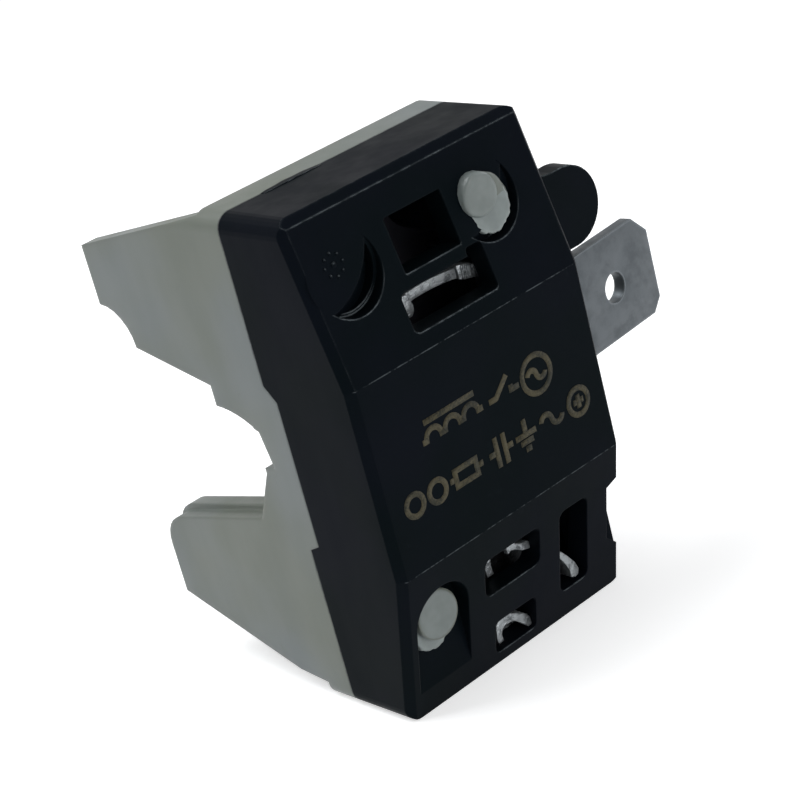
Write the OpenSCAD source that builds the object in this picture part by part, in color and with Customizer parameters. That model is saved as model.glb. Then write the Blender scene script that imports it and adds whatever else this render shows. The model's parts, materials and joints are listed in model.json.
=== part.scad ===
// Plug-in current relay that starts a small hermetic compressor.
// X points to the side with the blade terminal, Y from the marked cover to the pin sockets, Z up.
// The origin is on the bottom face, at mid width, on the parting plane between cover and body.

/* [Housing] */
// Width of cover and body
body_w = 17.7; // [17.2:0.1:20]
// Thickness of the body's front plate
plate_t = 2.1; // [1.6:0.1:2.6]
// Wall of the cover
cover_wall = 1.3; // [1:0.1:1.5]
// Depth of the cover over the marked flat
face_depth = 7.35; // [7:0.05:9]
// Depth of the cover at its top edge
top_depth = 5.15; // [4.8:0.05:6]
// Depth of the cover at its bottom edge
foot_depth = 4.7; // [4.5:0.05:6]
// Height of the lower crease of the face
crease_low = 9.55; // [8.8:0.05:10.5]
// Height of the sloped face above the upper crease
top_slope = 9.25; // [8.8:0.05:9.6]

/* [Wing] */
// Thickness of the wing plate on the left side
wing_t = 1.1; // [0.9:0.1:1.3]
// Reach of the upper arm behind the parting plane
wing_reach = 13.9; // [13:0.1:16]
// Reach of the lower arm behind the parting plane
arm_reach = 14.3; // [13:0.1:16]

/* [Pin sockets] */
// Distance between the two pins, which the height of the housing follows
pin_pitch = 17.9; // [17.5:0.1:20]
// Radius of the compressor's terminal pins
pin_r = 1.15; // [1.1:0.05:1.2]
// Length of the spring clip round a pin
clip_len = 8; // [6:0.5:9]
// Depth of the socket sleeves behind the parting plane
sleeve_end = 12.4; // [12:0.1:14]

/* [Blade terminal] */
// Width of the push-on blade
blade_w = 6.3; // [4.8:0.1:6.5]
// Thickness of the push-on blade
blade_t = 0.8; // [0.5:0.1:0.9]
// Length of the blade outside the cover
blade_len = 9.6; // [7:0.1:10]
// Angle by which the blade is bent back
blade_bend = 6; // [0:1:8]

/* [Coil and plunger] */
// Radius of the steel plunger
plunger_r = 2.25; // [2:0.05:2.4]
// Lift of the plunger
lift = 3; // [2.8:0.05:3.1]
// Outer radius of the coil
coil_r = 5.3; // [5:0.05:5.4]
// Height of the coil's lower flange
flange_low = 4.5; // [4.3:0.1:4.8]
// Thickness of the coil's wire
wire_d = 1; // [0.8:0.05:1.15]

/* [Contacts] */
// Lift that is left when the contacts have closed
overtravel = 0.8; // [0.6:0.05:1]
// Distance of each contact from the plunger's axis
contact_x = 2.75; // [2.6:0.05:2.8]
// Thickness of the contact strips
strip_t = 0.6; // [0.4:0.05:0.65]
// Width of the contact strips
strip_w = 2.2; // [1.9:0.1:2.3]

/* [Hidden] */

// Facets of round faces, of wires, and segments of a small rounded corner
$fn = 48;
wire_fn = 16;
corner_n = 6;
// Overrun of a cut, play of pieces that are fixed together, play of pieces that slide
cut = 1;
snug = 0.02;
slide_play = 0.05;

// Spring clips and sleeves of the pin sockets
clip_t = 0.4;
clip_slit = 0.8;
sleeve_wall = 0.7;
sleeve_gap = 0.1;
mouth_chamfer = 0.4;
mouth_play = 0.3;
clip_r = pin_r + clip_t;
sleeve_r = clip_r + slide_play + sleeve_wall;
clip_end = sleeve_end - sleeve_wall - slide_play;
clip_start = clip_end - clip_len;

// Half the width and the height of the housing, and the places of the two pins
half_w = body_w / 2;
pin_foot = 2.5;
pin_head = 7.4;
pin_low = pin_foot + sleeve_r;
pin_high = pin_low + pin_pitch;
body_h = pin_high + pin_head;
pin_x = -(half_w - wing_t - sleeve_gap - sleeve_r);
crease_high = body_h - top_slope;

// Corners of the cover and the body plate, and the bevel along the cover's edges
corner_high = 0.95;
corner_side = 0.9;
side_bevel = 0.45;

// Mould windows in the upper half of the cover: left, right, lower and upper edge below the top, corner radius
window_square = [-2.55, 1.6, 5.3, 2.2, 0.12];
window_strip = [-3.45, 2.85, 8.3, 6.05, 0.4];
window_step = [1.65, 2.85, 8.3, 5.6, 0.25];
// Mould windows in the lower half: left, right, bottom, top, corner radius
window_mid = [-2.6, 1.85, 5, 7.5, 0.5];
window_foot = [-1.95, 1.4, 0.7, 2.9, 0.4];
window_side = [3.5, 5.85, 1.8, 7.4, 0.5];

// Round recesses in the cover: radius, and wall behind them
recess_r = 2.3;
recess_back = 0.9;
recess_left_x = -6;
recess_step = 0.2;
recess_left_depth = top_depth - 0.2;
recess_ledge_depth = top_depth + 0.55;
recess_right_x = 4.2;
recess_down = 3.8;
recess_high_z = body_h - recess_down;
recess_high_depth = top_depth + 0.4;
recess_low_x = -5.95;
recess_low_z = 5.9;
recess_low_r = 2;
recess_low_depth = foot_depth + 0.45;

// Melted posts of the body that hold the cover on, and where their flash lies
post_r = 1.2;
post_head_r = 1.45;
post_head_t = 0.55;
post_flash_t = 0.22;
post_flash_high = [0.5, -0.55];
post_flash_low = [-0.2, -0.6];
post_low_x = recess_low_x - 0.25;
post_low_z = recess_low_z + 0.2;
pillar_wall = 0.8;

// Notch in the right edge of the cover
notch_d = 1.3;
notch_low = 2.3;
notch_high = 7.45;
notch_slope_low = 1.15;
notch_slope_high = 0.5;
notch_depth = 2.6;

// Flat round ear on the cover's right wall
ear_r = 2.4;
ear_reach = 3.05;
ear_x = half_w + ear_reach;
ear_lift = 0.6;
ear_t = 1.4;
ear_front = 4.1;
ear_fillet = 2.2;

// Lip of the body that stands in a relief of the cover's left wall
lip_d = 0.8;
lip_low = 10.2;
lip_down = 9.8;
lip_high = body_h - lip_down;
lip_slope_low = 0.35;
lip_slope_high = 0.9;

// Blade terminal: height of its middle, front face, hole, end chamfers, foot inside the cover
blade_down = 13.75;
blade_z = body_h - blade_down;
ear_z = blade_z + blade_w / 2 + ear_lift + ear_r;
blade_front = 4.2;
blade_hole_r = 0.92;
blade_hole_end = 3.9;
blade_hole_drop = 0.1;
blade_chamfer = 1.2;
blade_low_share = 0.65;
blade_foot = 3.8;

// Strips and fixed contacts, worked out downwards from the upper pin clip
tongue_rise = 0.25;
fixed_t = 0.7;
fixed_r = 0.95;
rivet_r = 0.45;
rivet_head = 0.22;
strip_z = pin_high + tongue_rise - strip_t;
strip_end = 1.2;
ceiling_gap = 0.55;
ceiling_z = strip_z + strip_t + ceiling_gap;
ceiling_t = 0.8;

// Bridge, spring, collar and push rod; a closed contact keeps a hair of air in the model
closed_gap = 0.05;
contact_gap = lift - overtravel + closed_gap;
contact_r = 0.9;
contact_t = 0.6;
bridge_t = 0.5;
bridge_w = 2.4;
bridge_end = 0.95;
bridge_r = contact_x + bridge_end;
bridge_z = strip_z - fixed_t - contact_gap - contact_t - bridge_t;
spring_len = 2.4;
spring_r = 1.2;
spring_wire = 0.28;
spring_turns = 3.5;
collar_r = 1.6;
collar_t = 0.5;
collar_gap = 1.4;
collar_z = bridge_z - spring_len - collar_t;
rod_r = 0.75;
rod_depth = 2.5;
rod_groove = 0.2;
rod_clip_r = 1.35;
rod_clip_t = 0.4;
rod_headroom = 0.3;
rod_top = ceiling_z - lift - rod_headroom;

// Guide plate, bobbin, coil and plunger
guide_t = 0.8;
guide_boss_t = 0.5;
guide_boss_wall = 0.7;
tube_wall = 0.7;
tube_head = 0.4;
tube_top = collar_z - collar_gap - guide_t;
bore_r = plunger_r + slide_play;
tube_r = bore_r + tube_wall;
wrap_t = 0.2;
flange_lip = 0.3;
flange_r = coil_r + wrap_t + flange_lip;
flange_low_r = coil_r + wrap_t;
flange_t = 0.7;
flange_high = tube_top - tube_head - flange_t;
coil_len = flange_high - flange_low - flange_t;
bobbin_z = 0.9;
bobbin_floor = 0.6;
pad_t = 0.6;
pad_z = bobbin_z + bobbin_floor;
head_gap = 0.1;
plunger_z = pad_z + pad_t;
plunger_len = tube_top - head_gap - lift - plunger_z;
plunger_chamfer = 0.3;
side_gap = 0.25;
plate_gap = 0.2;
mech_x = half_w - side_gap - flange_r;
mech_y = plate_t + plate_gap + flange_r;
shelf_t = 0.9;

// Chamber round the contacts
chamber_play = 0.3;
chamber_wall = 0.9;
chamber_r = bridge_r + chamber_play + slide_play;
chamber_low = tube_top - tube_head + head_gap;

// Angles at which the coil's two ends leave it, and their distance from the chamber
lead_angles = [207, 262];
lead_side = 0.35;

// Points of an arc round c from angle a to angle b
function arc(c, r, a, b, n = corner_n) =
    [for (i = [0 : n]) c + r * [cos(a + (b - a) * i / n), sin(a + (b - a) * i / n)]];
// Points between p and q on a shallow bow that stands sag to the left of the line
function bow(p, q, sag, n = corner_n) =
    let (d = (q - p) / norm(q - p), side = [-d[1], d[0]])
    [for (i = [0 : n]) p + (q - p) * i / n + side * sag * 4 * (i / n) * (1 - i / n)];
// Rectangle with rounded corners
function round_rect(x0, x1, z0, z1, r) = concat(
    arc([x1 - r, z1 - r], r, 0, 90), arc([x0 + r, z1 - r], r, 90, 180),
    arc([x0 + r, z0 + r], r, 180, 270), arc([x1 - r, z0 + r], r, 270, 360));

// Extrudes an outline in X and Z from y0 to y1
module along_y(y0, y1) {
    translate([0, y1, 0]) rotate([90, 0, 0]) linear_extrude(y1 - y0) children();
}
// Extrudes an outline in Y and Z from x0 to x1
module along_x(x0, x1) {
    translate([x0, 0, 0]) rotate([90, 0, 90]) linear_extrude(x1 - x0) children();
}
// Round bar along Y
module bar_y(x, z, r, y0, y1) {
    translate([x, y1, z]) rotate([90, 0, 0]) cylinder(r = r, h = y1 - y0);
}

// Depth of the cover's face at height z
function face_y(z) =
    z < crease_low ? -(foot_depth + (face_depth - foot_depth) * z / crease_low)
    : z > crease_high ? -(face_depth - (face_depth - top_depth) * (z - crease_high) / (body_h - crease_high))
    : -face_depth;

// Outline of cover and body plate in X and Z
function housing_outline() = concat(
    arc([half_w - corner_side, corner_side], corner_side, 270, 360),
    arc([half_w - corner_side, body_h - corner_side], corner_side, 0, 90),
    arc([corner_high - half_w, body_h - corner_high], corner_high, 90, 180),
    arc([corner_side - half_w, corner_side], corner_side, 180, 270));

// Side profile of the cover in Y and Z, set in by a wall, with the bevel along its top edge
function cover_profile(wall = 0) =
    let (lean = (face_depth - top_depth) / top_slope) [
        [0, wall], [-(foot_depth - wall), wall], [-(face_depth - wall), crease_low],
        [-(face_depth - wall), crease_high], [-(top_depth - wall) - side_bevel * lean, body_h - wall - side_bevel],
        [-(top_depth - wall) + side_bevel, body_h - wall], [0, body_h - wall]];

// Bevel along one side edge of the face, between two heights
module edge_bevel(side, z0, z1) {
    y0 = face_y(z0);
    y1 = face_y(z1);
    run = norm([y1 - y0, z1 - z0]);
    translate([side * half_w, y0, z0]) rotate([-atan2(y1 - y0, z1 - z0), 0, 0])
        translate([0, 0, -run]) linear_extrude(3 * run) rotate([0, 0, 45])
            square(side_bevel * sqrt(2), center = true);
}

// Solid envelope of the cover
module cover_envelope() {
    difference() {
        intersection() {
            along_y(-face_depth - cut, 0) polygon(housing_outline());
            along_x(-half_w - cut, half_w + cut) polygon(cover_profile());
        }
        for (side = [-1, 1]) {
            edge_bevel(side, 0, crease_low);
            edge_bevel(side, crease_low, crease_high);
            edge_bevel(side, crease_high, body_h);
        }
        edge_notch(notch_d, 0);
    }
}

// Notch in the right edge; grown for the wall behind it
module edge_notch(d, wall) {
    along_y(-face_depth - cut, -face_depth + notch_depth + wall) polygon([
        [half_w + cut, notch_low - wall], [half_w, notch_low - wall],
        [half_w - d, notch_low + notch_slope_low - wall],
        [half_w - d, notch_high - notch_slope_high + wall],
        [half_w, notch_high + wall], [half_w + cut, notch_high + wall]]);
}

// A window's table with its edges counted from the bottom
function from_top(w) = [w[0], w[1], body_h - w[2], body_h - w[3], w[4]];

module window(w) {
    along_y(-face_depth - cut, -cover_wall) polygon(round_rect(w[0], w[1], w[2], w[3], w[4]));
}

// Outline of the cover's relief and of the body's lip in Y and Z
function lip_profile(over) = [
    [over, lip_low], [0, lip_low], [-lip_d, lip_low + lip_slope_low],
    [-lip_d, lip_high - lip_slope_high], [0, lip_high], [over, lip_high]];

module ear() {
    root = half_w - cover_wall / 2;
    along_y(-ear_front, -ear_front + ear_t) {
        translate([ear_x, ear_z]) circle(r = ear_r);
        polygon(concat([[root, ear_z - ear_r], [ear_x, ear_z - ear_r], [ear_x, ear_z + ear_r]],
            arc([half_w + ear_fillet, ear_z + ear_r + ear_fillet], ear_fillet, 270, 180),
            [[root, ear_z + ear_r + ear_fillet]]));
    }
}

module front_cover() {
    color([0.09, 0.1, 0.11]) union() {
        difference() {
            union() {
                difference() {
                    cover_envelope();
                    intersection() {
                        along_y(-face_depth, cut)
                            polygon(round_rect(cover_wall - half_w, half_w - cover_wall,
                                cover_wall, body_h - cover_wall, cover_wall / 2));
                        along_x(-half_w, half_w)
                            polygon(concat(cover_profile(cover_wall), [[cut, body_h - cover_wall], [cut, cover_wall]]));
                    }
                }
                intersection() {
                    cover_envelope();
                    union() {
                        bar_y(recess_left_x, recess_high_z, recess_r + pillar_wall, -face_depth,
                            -recess_left_depth + recess_back);
                        bar_y(recess_right_x, recess_high_z, recess_r + pillar_wall, -face_depth,
                            -recess_high_depth + recess_back);
                        bar_y(recess_right_x, recess_high_z, post_r + slide_play + pillar_wall, -face_depth, 0);
                        bar_y(recess_low_x, recess_low_z, recess_low_r + pillar_wall, -face_depth,
                            -recess_low_depth + recess_back);
                        bar_y(post_low_x, post_low_z, post_r + slide_play + pillar_wall, -face_depth, 0);
                        edge_notch(notch_d + cover_wall, cover_wall);
                    }
                }
            }
            edge_notch(notch_d, 0);
            for (w = [window_square, window_strip, window_step]) window(from_top(w));
            for (w = [window_mid, window_foot, window_side]) window(w);
            bar_y(recess_right_x, recess_high_z, recess_r, -face_depth - cut, -recess_high_depth);
            bar_y(recess_left_x, recess_high_z, recess_r, -face_depth - cut, -recess_ledge_depth);
            bar_y(recess_left_x, recess_high_z, recess_r - recess_step, -face_depth - cut, -recess_left_depth);
            bar_y(recess_low_x, recess_low_z, recess_low_r, -face_depth - cut, -recess_low_depth);
            along_y(-face_depth - cut, -recess_low_depth)
                translate([recess_low_x - recess_low_r, 0]) square([2 * recess_low_r, recess_low_z]);
            bar_y(recess_right_x, recess_high_z, post_r + slide_play, -face_depth, cut);
            bar_y(post_low_x, post_low_z, post_r + slide_play, -face_depth, cut);
            along_x(-half_w - cut, -half_w + cover_wall + snug) polygon(lip_profile(cut));
            blade_slot();
        }
        ear();
    }
}

// Slot in the right wall that the blade and the body's tongue stand in
module blade_slot() {
    translate([half_w - cover_wall - snug, -blade_front - slide_play, blade_z - blade_w / 2 - slide_play])
        cube([cover_wall + cut, blade_front + slide_play + cut, blade_w + 2 * slide_play]);
}

// Named heights and reaches of the wing's outline
wing_step = 0.2;
wing_top = body_h - wing_step;
wing_drop = 2.7;
wing_end_h = 3.6;
scoop_r = 2.45;
neck_reach = 2.95;
neck_y = plate_t + neck_reach;
neck_down = 10.5;
neck_z = body_h - neck_down;
neck_step = 1.25;
neck_rise = 1.45;
neck_bow = 0.25;
waist_y = 1.2;
waist_lean = 0.5;
waist_rise = 0.6;
waist_drop_low = 4.5;
waist_drop_high = 2.35;
waist_low = neck_z - waist_drop_low;
waist_high = neck_z - waist_drop_high;
hip_y = 2;
hip_drop = 0.3;
hip_z = waist_low - hip_drop;
shoulder_y = 3.9;
shoulder_z = 11.4;
arm_top = 9.8;
arm_round = 2.2;
arm_turn = 80;
arm_end = 4.3;
heel_y = 4.5;
heel_z = 1.25;
heel_step = 1;
lobe_t = 1;
lobe_rise = 0.35;

// Outline of the wing in Y and Z; rise lifts the lower arm's upper edge
function wing_outline(rise = 0) = concat(
    [[0, heel_step], [plate_t, heel_step], [heel_y, heel_z], [arm_reach, arm_end]],
    arc([arm_reach - arm_round, arm_top + rise - arm_round], arm_round, 0, arm_turn),
    [[shoulder_y, shoulder_z + rise], [hip_y, hip_z], [waist_y, waist_low]],
    bow([waist_y + waist_lean, waist_high], [neck_y, neck_z - neck_step], neck_bow),
    [[neck_y, neck_z]],
    arc([wing_reach, neck_z + neck_rise], scoop_r, 180, 90),
    [[wing_reach, wing_top - wing_drop], [plate_t, wing_top], [0, wing_top]]);

module rear_body() {
    color([0.86, 0.88, 0.84]) difference() {
        union() {
            along_y(0, plate_t) polygon(housing_outline());
            intersection() {
                along_x(-half_w, -half_w + wing_t) polygon(wing_outline());
                along_y(-cut, 2 * arm_reach) polygon(housing_outline());
            }
            lower_lobe();
            for (z = [pin_low, pin_high]) socket_sleeve(z);
            chamber_wall_solid();
            bobbin_shelf();
            stake_post(recess_right_x, recess_high_z, recess_high_depth, post_head_t, post_flash_high);
            stake_post(post_low_x, post_low_z, recess_low_depth, 2 * post_head_t, post_flash_low);
            along_x(-half_w, -half_w + cover_wall) polygon(lip_profile(plate_t));
            blade_tongue();
        }
        waist_relief();
        for (z = [pin_low, pin_high]) socket_bore(z);
        chamber_hollow();
        for (x = [-contact_x, contact_x]) strip_slot(mech_x + x);
        tongue_slot(pin_high, strip_z + strip_t);
        tongue_slot(pin_low, run_tongue_z);
        for (a = lead_angles) lead_channel(a);
    }
}

// The body's outer skin is cut back at the waist, down to the wing's outline
module waist_relief() {
    along_x(-half_w - cut, -half_w + wing_t)
        polygon([[waist_y, waist_low], [waist_y + waist_lean, waist_high],
            [plate_t + cut, waist_high + waist_rise], [plate_t + cut, hip_z]]);
}

// Second thickness of the lower arm, which stands a little prouder than the wing
module lower_lobe() {
    along_x(-half_w + wing_t - snug, -half_w + wing_t + lobe_t) polygon(concat(
        [[plate_t - snug, heel_step], [heel_y, heel_z], [arm_reach, arm_end + heel_step]],
        arc([arm_reach - arm_round, arm_top + lobe_rise - arm_round], arm_round, 0, arm_turn),
        [[shoulder_y, shoulder_z + lobe_rise], [plate_t - snug, shoulder_z + lobe_rise]]));
}

// Sleeve round a pin clip, with the web that joins it to the wing
module socket_sleeve(z) {
    bar_y(pin_x, z, sleeve_r, plate_t - snug, sleeve_end);
    translate([-half_w + wing_t / 2, plate_t - snug, z - sleeve_wall])
        cube([pin_x + half_w - wing_t / 2 - clip_r, sleeve_end - plate_t - lobe_t, 2 * sleeve_wall]);
}

module socket_bore(z) {
    bar_y(pin_x, z, clip_r + slide_play, -cut, sleeve_end - sleeve_wall);
    bar_y(pin_x, z, pin_r + mouth_play, 0, sleeve_end + cut);
    translate([pin_x, sleeve_end + snug, z]) rotate([90, 0, 0])
        cylinder(r1 = pin_r + mouth_play + mouth_chamfer, r2 = pin_r + mouth_play, h = mouth_chamfer);
}

// Round contact chamber over the coil, with the block that joins it to the plate
module chamber_wall_solid() {
    top = ceiling_z + ceiling_t;
    translate([mech_x, mech_y, chamber_low]) cylinder(r = chamber_r + chamber_wall, h = top - chamber_low);
    translate([mech_x - chamber_r, plate_t - snug, tube_top])
        cube([2 * chamber_r, mech_y - plate_t - chamber_r / 2, top - tube_top]);
}

module chamber_hollow() {
    translate([mech_x, mech_y, chamber_low - cut]) cylinder(r = chamber_r, h = ceiling_z - chamber_low + cut);
}

// Slot that a contact strip slides in from the front
module strip_slot(x) {
    translate([x - strip_w / 2 - slide_play, -cut, strip_z - snug])
        cube([strip_w + 2 * slide_play, mech_y + strip_end + slide_play + cut, strip_t + 2 * snug]);
}

// Slot in the plate for the flat tongue of a pin clip
module tongue_slot(z, tongue_z) {
    translate([pin_x - clip_r - slide_play, -cut, tongue_z - slide_play])
        cube([2 * (clip_r + slide_play), clip_start + clip_t + slide_play + cut, clip_t + 2 * slide_play]);
}

// Fork that the bobbin's lower flange sits on
module bobbin_shelf() {
    z0 = flange_low - shelf_t;
    x0 = pin_x + clip_r;
    difference() {
        union() {
            translate([x0, plate_t - snug, z0]) cube([half_w - side_gap - x0, mech_y + tube_r - plate_t, shelf_t]);
            for (x = [mech_x - tube_r - shelf_t, mech_x + tube_r])
                translate([x, plate_t - snug, bobbin_z]) cube([shelf_t, mech_y - plate_t, z0 - bobbin_z + snug]);
        }
        translate([mech_x, mech_y, bobbin_z - cut]) cylinder(r = tube_r + slide_play, h = z0 + shelf_t + cut);
        translate([mech_x - tube_r - slide_play, mech_y, z0 - cut])
            cube([2 * (tube_r + slide_play), 2 * tube_r, shelf_t + 2 * cut]);
    }
}

// Post through the cover, with its melted head and the flash round it
module stake_post(x, z, depth, head_t, flash) {
    bar_y(x, z, post_r, -depth - snug, snug);
    bar_y(x, z, post_head_r, -depth - head_t, -depth);
    bar_y(x + flash[0], z + flash[1], post_head_r, -depth - post_flash_t, -depth);
}

// Tongue that closes the blade's slot behind the blade
module blade_tongue() {
    translate([half_w - cover_wall, -blade_front + blade_t + slide_play, blade_z - blade_w / 2])
        cube([cover_wall, blade_front - blade_t - slide_play + snug, blade_w]);
}

module coil_bobbin() {
    color([0.8, 0.8, 0.74]) translate([mech_x, mech_y, 0]) difference() {
        union() {
            translate([0, 0, bobbin_z]) cylinder(r = tube_r, h = tube_top - bobbin_z);
            translate([0, 0, flange_low]) cylinder(r = flange_low_r, h = flange_t);
            translate([0, 0, flange_high]) cylinder(r = flange_r, h = flange_t);
        }
        translate([0, 0, pad_z]) cylinder(r = bore_r, h = tube_top);
        for (a = lead_angles) rotate([0, 0, a])
            translate([lead_r - wire_d / 2 - slide_play, -wire_d / 2 - slide_play, flange_high - snug])
                cube([flange_r, wire_d + 2 * slide_play, flange_t + 2 * snug]);
    }
}

module coil_winding() {
    turns = floor((coil_len - slide_play) / wire_d);
    pitch = coil_len / turns;
    color([0.62, 0.32, 0.16]) translate([mech_x, mech_y, flange_low + flange_t]) rotate_extrude() union() {
        translate([tube_r + snug, snug]) square([coil_r - tube_r - wire_d / 2, coil_len - 2 * snug]);
        for (i = [0 : turns - 1]) translate([coil_r - wire_d / 2, pitch * (i + 0.5)]) circle(r = wire_d / 2 - snug);
    }
}

module coil_wrap() {
    color([0.16, 0.18, 0.17]) translate([mech_x, mech_y, flange_low + flange_t + snug]) difference() {
        cylinder(r = coil_r + wrap_t, h = coil_len - 2 * snug);
        translate([0, 0, -cut]) cylinder(r = coil_r + snug, h = coil_len + 2 * cut);
    }
}

module guide_plate() {
    color([0.8, 0.8, 0.74]) translate([mech_x, mech_y, tube_top]) difference() {
        union() {
            cylinder(r = chamber_r - slide_play, h = guide_t);
            cylinder(r = rod_r + slide_play + guide_boss_wall, h = guide_t + guide_boss_t);
        }
        translate([0, 0, -cut]) cylinder(r = rod_r + slide_play, h = guide_t + 3 * cut);
    }
}

module buffer_pad() {
    color([0.15, 0.15, 0.15]) translate([mech_x, mech_y, pad_z]) cylinder(r = bore_r - slide_play, h = pad_t);
}

module plunger() {
    color([0.6, 0.62, 0.63]) translate([mech_x, mech_y, plunger_z]) difference() {
        rotate_extrude() polygon([[0, 0], [plunger_r - plunger_chamfer, 0], [plunger_r, plunger_chamfer],
            [plunger_r, plunger_len - plunger_chamfer], [plunger_r - plunger_chamfer, plunger_len],
            [0, plunger_len]]);
        translate([0, 0, plunger_len - rod_depth]) cylinder(r = rod_r + snug, h = rod_depth + cut);
    }
}

module push_rod() {
    z0 = plunger_z + plunger_len - rod_depth;
    color([0.78, 0.66, 0.35]) translate([mech_x, mech_y, 0]) rotate_extrude() polygon([
        [0, z0], [rod_r, z0], [rod_r, bridge_z + bridge_t + snug],
        [rod_r - rod_groove, bridge_z + bridge_t + snug],
        [rod_r - rod_groove, bridge_z + bridge_t + rod_clip_t + 3 * snug],
        [rod_r, bridge_z + bridge_t + rod_clip_t + 3 * snug], [rod_r, rod_top - rod_groove],
        [rod_r - rod_groove, rod_top], [0, rod_top]]);
}

module spring_collar() {
    color([0.78, 0.66, 0.35]) translate([mech_x, mech_y, collar_z]) difference() {
        cylinder(r = collar_r, h = collar_t);
        translate([0, 0, -cut]) cylinder(r = rod_r + snug, h = collar_t + 2 * cut);
    }
}

// Helical spring with closed ends, swept as one solid
spring_sides = 8;
spring_steps = 16;
closed_share = 0.16;
function spring_rise(t) =
    let (s = min(1, max(0, (t - closed_share) / (1 - 2 * closed_share))))
    spring_wire / 2 + snug + (spring_len - spring_wire - 2 * snug) * s;
module contact_spring() {
    n = floor(spring_turns * spring_steps);
    pts = [for (i = [0 : n]) let (a = 360 * i / spring_steps, z = spring_rise(i / n)) for (k = [0 : spring_sides - 1])
        let (b = 360 * k / spring_sides, r = spring_r + spring_wire / 2 * cos(b))
        [r * cos(a), r * sin(a), z + spring_wire / 2 * sin(b)]];
    walls = [for (i = [0 : n - 1]) for (k = [0 : spring_sides - 1])
        let (a = i * spring_sides, j = (k + 1) % spring_sides)
        [a + k, a + spring_sides + k, a + spring_sides + j, a + j]];
    first = [for (k = [0 : spring_sides - 1]) k];
    last = [for (k = [spring_sides - 1 : -1 : 0]) n * spring_sides + k];
    color([0.75, 0.76, 0.78]) translate([mech_x, mech_y, collar_z + collar_t])
        polyhedron(points = pts, faces = concat([first], walls, [last]), convexity = 10);
}

module contact_bridge() {
    color([0.72, 0.42, 0.25]) translate([mech_x, mech_y, bridge_z]) difference() {
        intersection() {
            cylinder(r = bridge_r, h = bridge_t);
            translate([-bridge_r, -bridge_w / 2, 0]) cube([2 * bridge_r, bridge_w, bridge_t]);
        }
        translate([0, 0, -cut]) cylinder(r = rod_r + slide_play, h = bridge_t + 2 * cut);
        for (s = [-1, 1]) translate([s * contact_x, 0, -cut]) cylinder(r = rivet_r, h = bridge_t + 2 * cut);
    }
}

module bridge_contacts() {
    color([0.85, 0.85, 0.82]) for (s = [-1, 1]) translate([mech_x + s * contact_x, mech_y, bridge_z]) {
        translate([0, 0, bridge_t]) cylinder(r = contact_r, h = contact_t);
        cylinder(r = rivet_r, h = bridge_t + snug);
    }
}

module rod_clip() {
    color([0.5, 0.52, 0.54]) translate([mech_x, mech_y, bridge_z + bridge_t + 2 * snug]) difference() {
        cylinder(r = rod_clip_r, h = rod_clip_t);
        translate([0, 0, -cut]) cylinder(r = rod_r - rod_groove + snug, h = rod_clip_t + 2 * cut);
        translate([-rod_r + rod_groove / 2, -rod_clip_r - cut, -cut])
            cube([2 * rod_r - rod_groove, rod_clip_r + cut, rod_clip_t + 2 * cut]);
    }
}

// Push-on blade outside the cover
module blade() {
    top = blade_w / 2;
    translate([half_w, -blade_front, blade_z]) rotate([0, 0, blade_bend]) difference() {
        along_y(0, blade_t) polygon([
            [0, -top], [blade_len - blade_chamfer * blade_low_share, -top],
            [blade_len, -top + blade_chamfer * blade_low_share],
            [blade_len, top - blade_chamfer], [blade_len - blade_chamfer, top], [0, top]]);
        bar_y(blade_len - blade_hole_end, -blade_hole_drop, blade_hole_r, -cut, blade_t + cut);
    }
}

module line_terminal() {
    x0 = mech_x + contact_x - strip_w / 2;
    color([0.7, 0.72, 0.73]) difference() {
        union() {
            blade();
            translate([half_w - blade_foot, -blade_front, blade_z - blade_w / 2])
                cube([blade_foot, blade_t, blade_w]);
            translate([x0, -blade_front, blade_z]) cube([strip_w, blade_t, strip_z + strip_t - blade_z]);
            translate([x0, -blade_front, strip_z]) cube([strip_w, blade_front + mech_y + strip_end, strip_t]);
        }
        translate([mech_x + contact_x, mech_y, strip_z - cut]) cylinder(r = rivet_r, h = strip_t + 2 * cut);
    }
}

// Silver button under a strip, riveted through it
module fixed_button(x) {
    color([0.85, 0.85, 0.82]) translate([mech_x + x, mech_y, strip_z - fixed_t]) {
        cylinder(r = fixed_r, h = fixed_t);
        cylinder(r = rivet_r, h = fixed_t + strip_t);
    }
}

module line_contact() {
    fixed_button(contact_x);
}

module start_contact() {
    fixed_button(-contact_x);
}

// Start strip: a bowed bar behind the cover's window with a bent left end, a crimped tab and an arm
bar_front = 5.1;
bar_back = 3;
bar_left = -2.2;
bar_lift_left = 0.22;
bar_lift_right = 0.12;
bar_bow = 0.12;
hook_left = -2.55;
hook_right = -1.6;
hook_drop = 1.15;
tab_left = 1.85;
tab_right = 3.85;
tab_fall = 0.55;
tab_h = 0.9;
tab_t = 1.1;
tab_round = 0.3;
tab_turn = 60;
bar_foot = 1;
rivet_y = -2;
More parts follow.
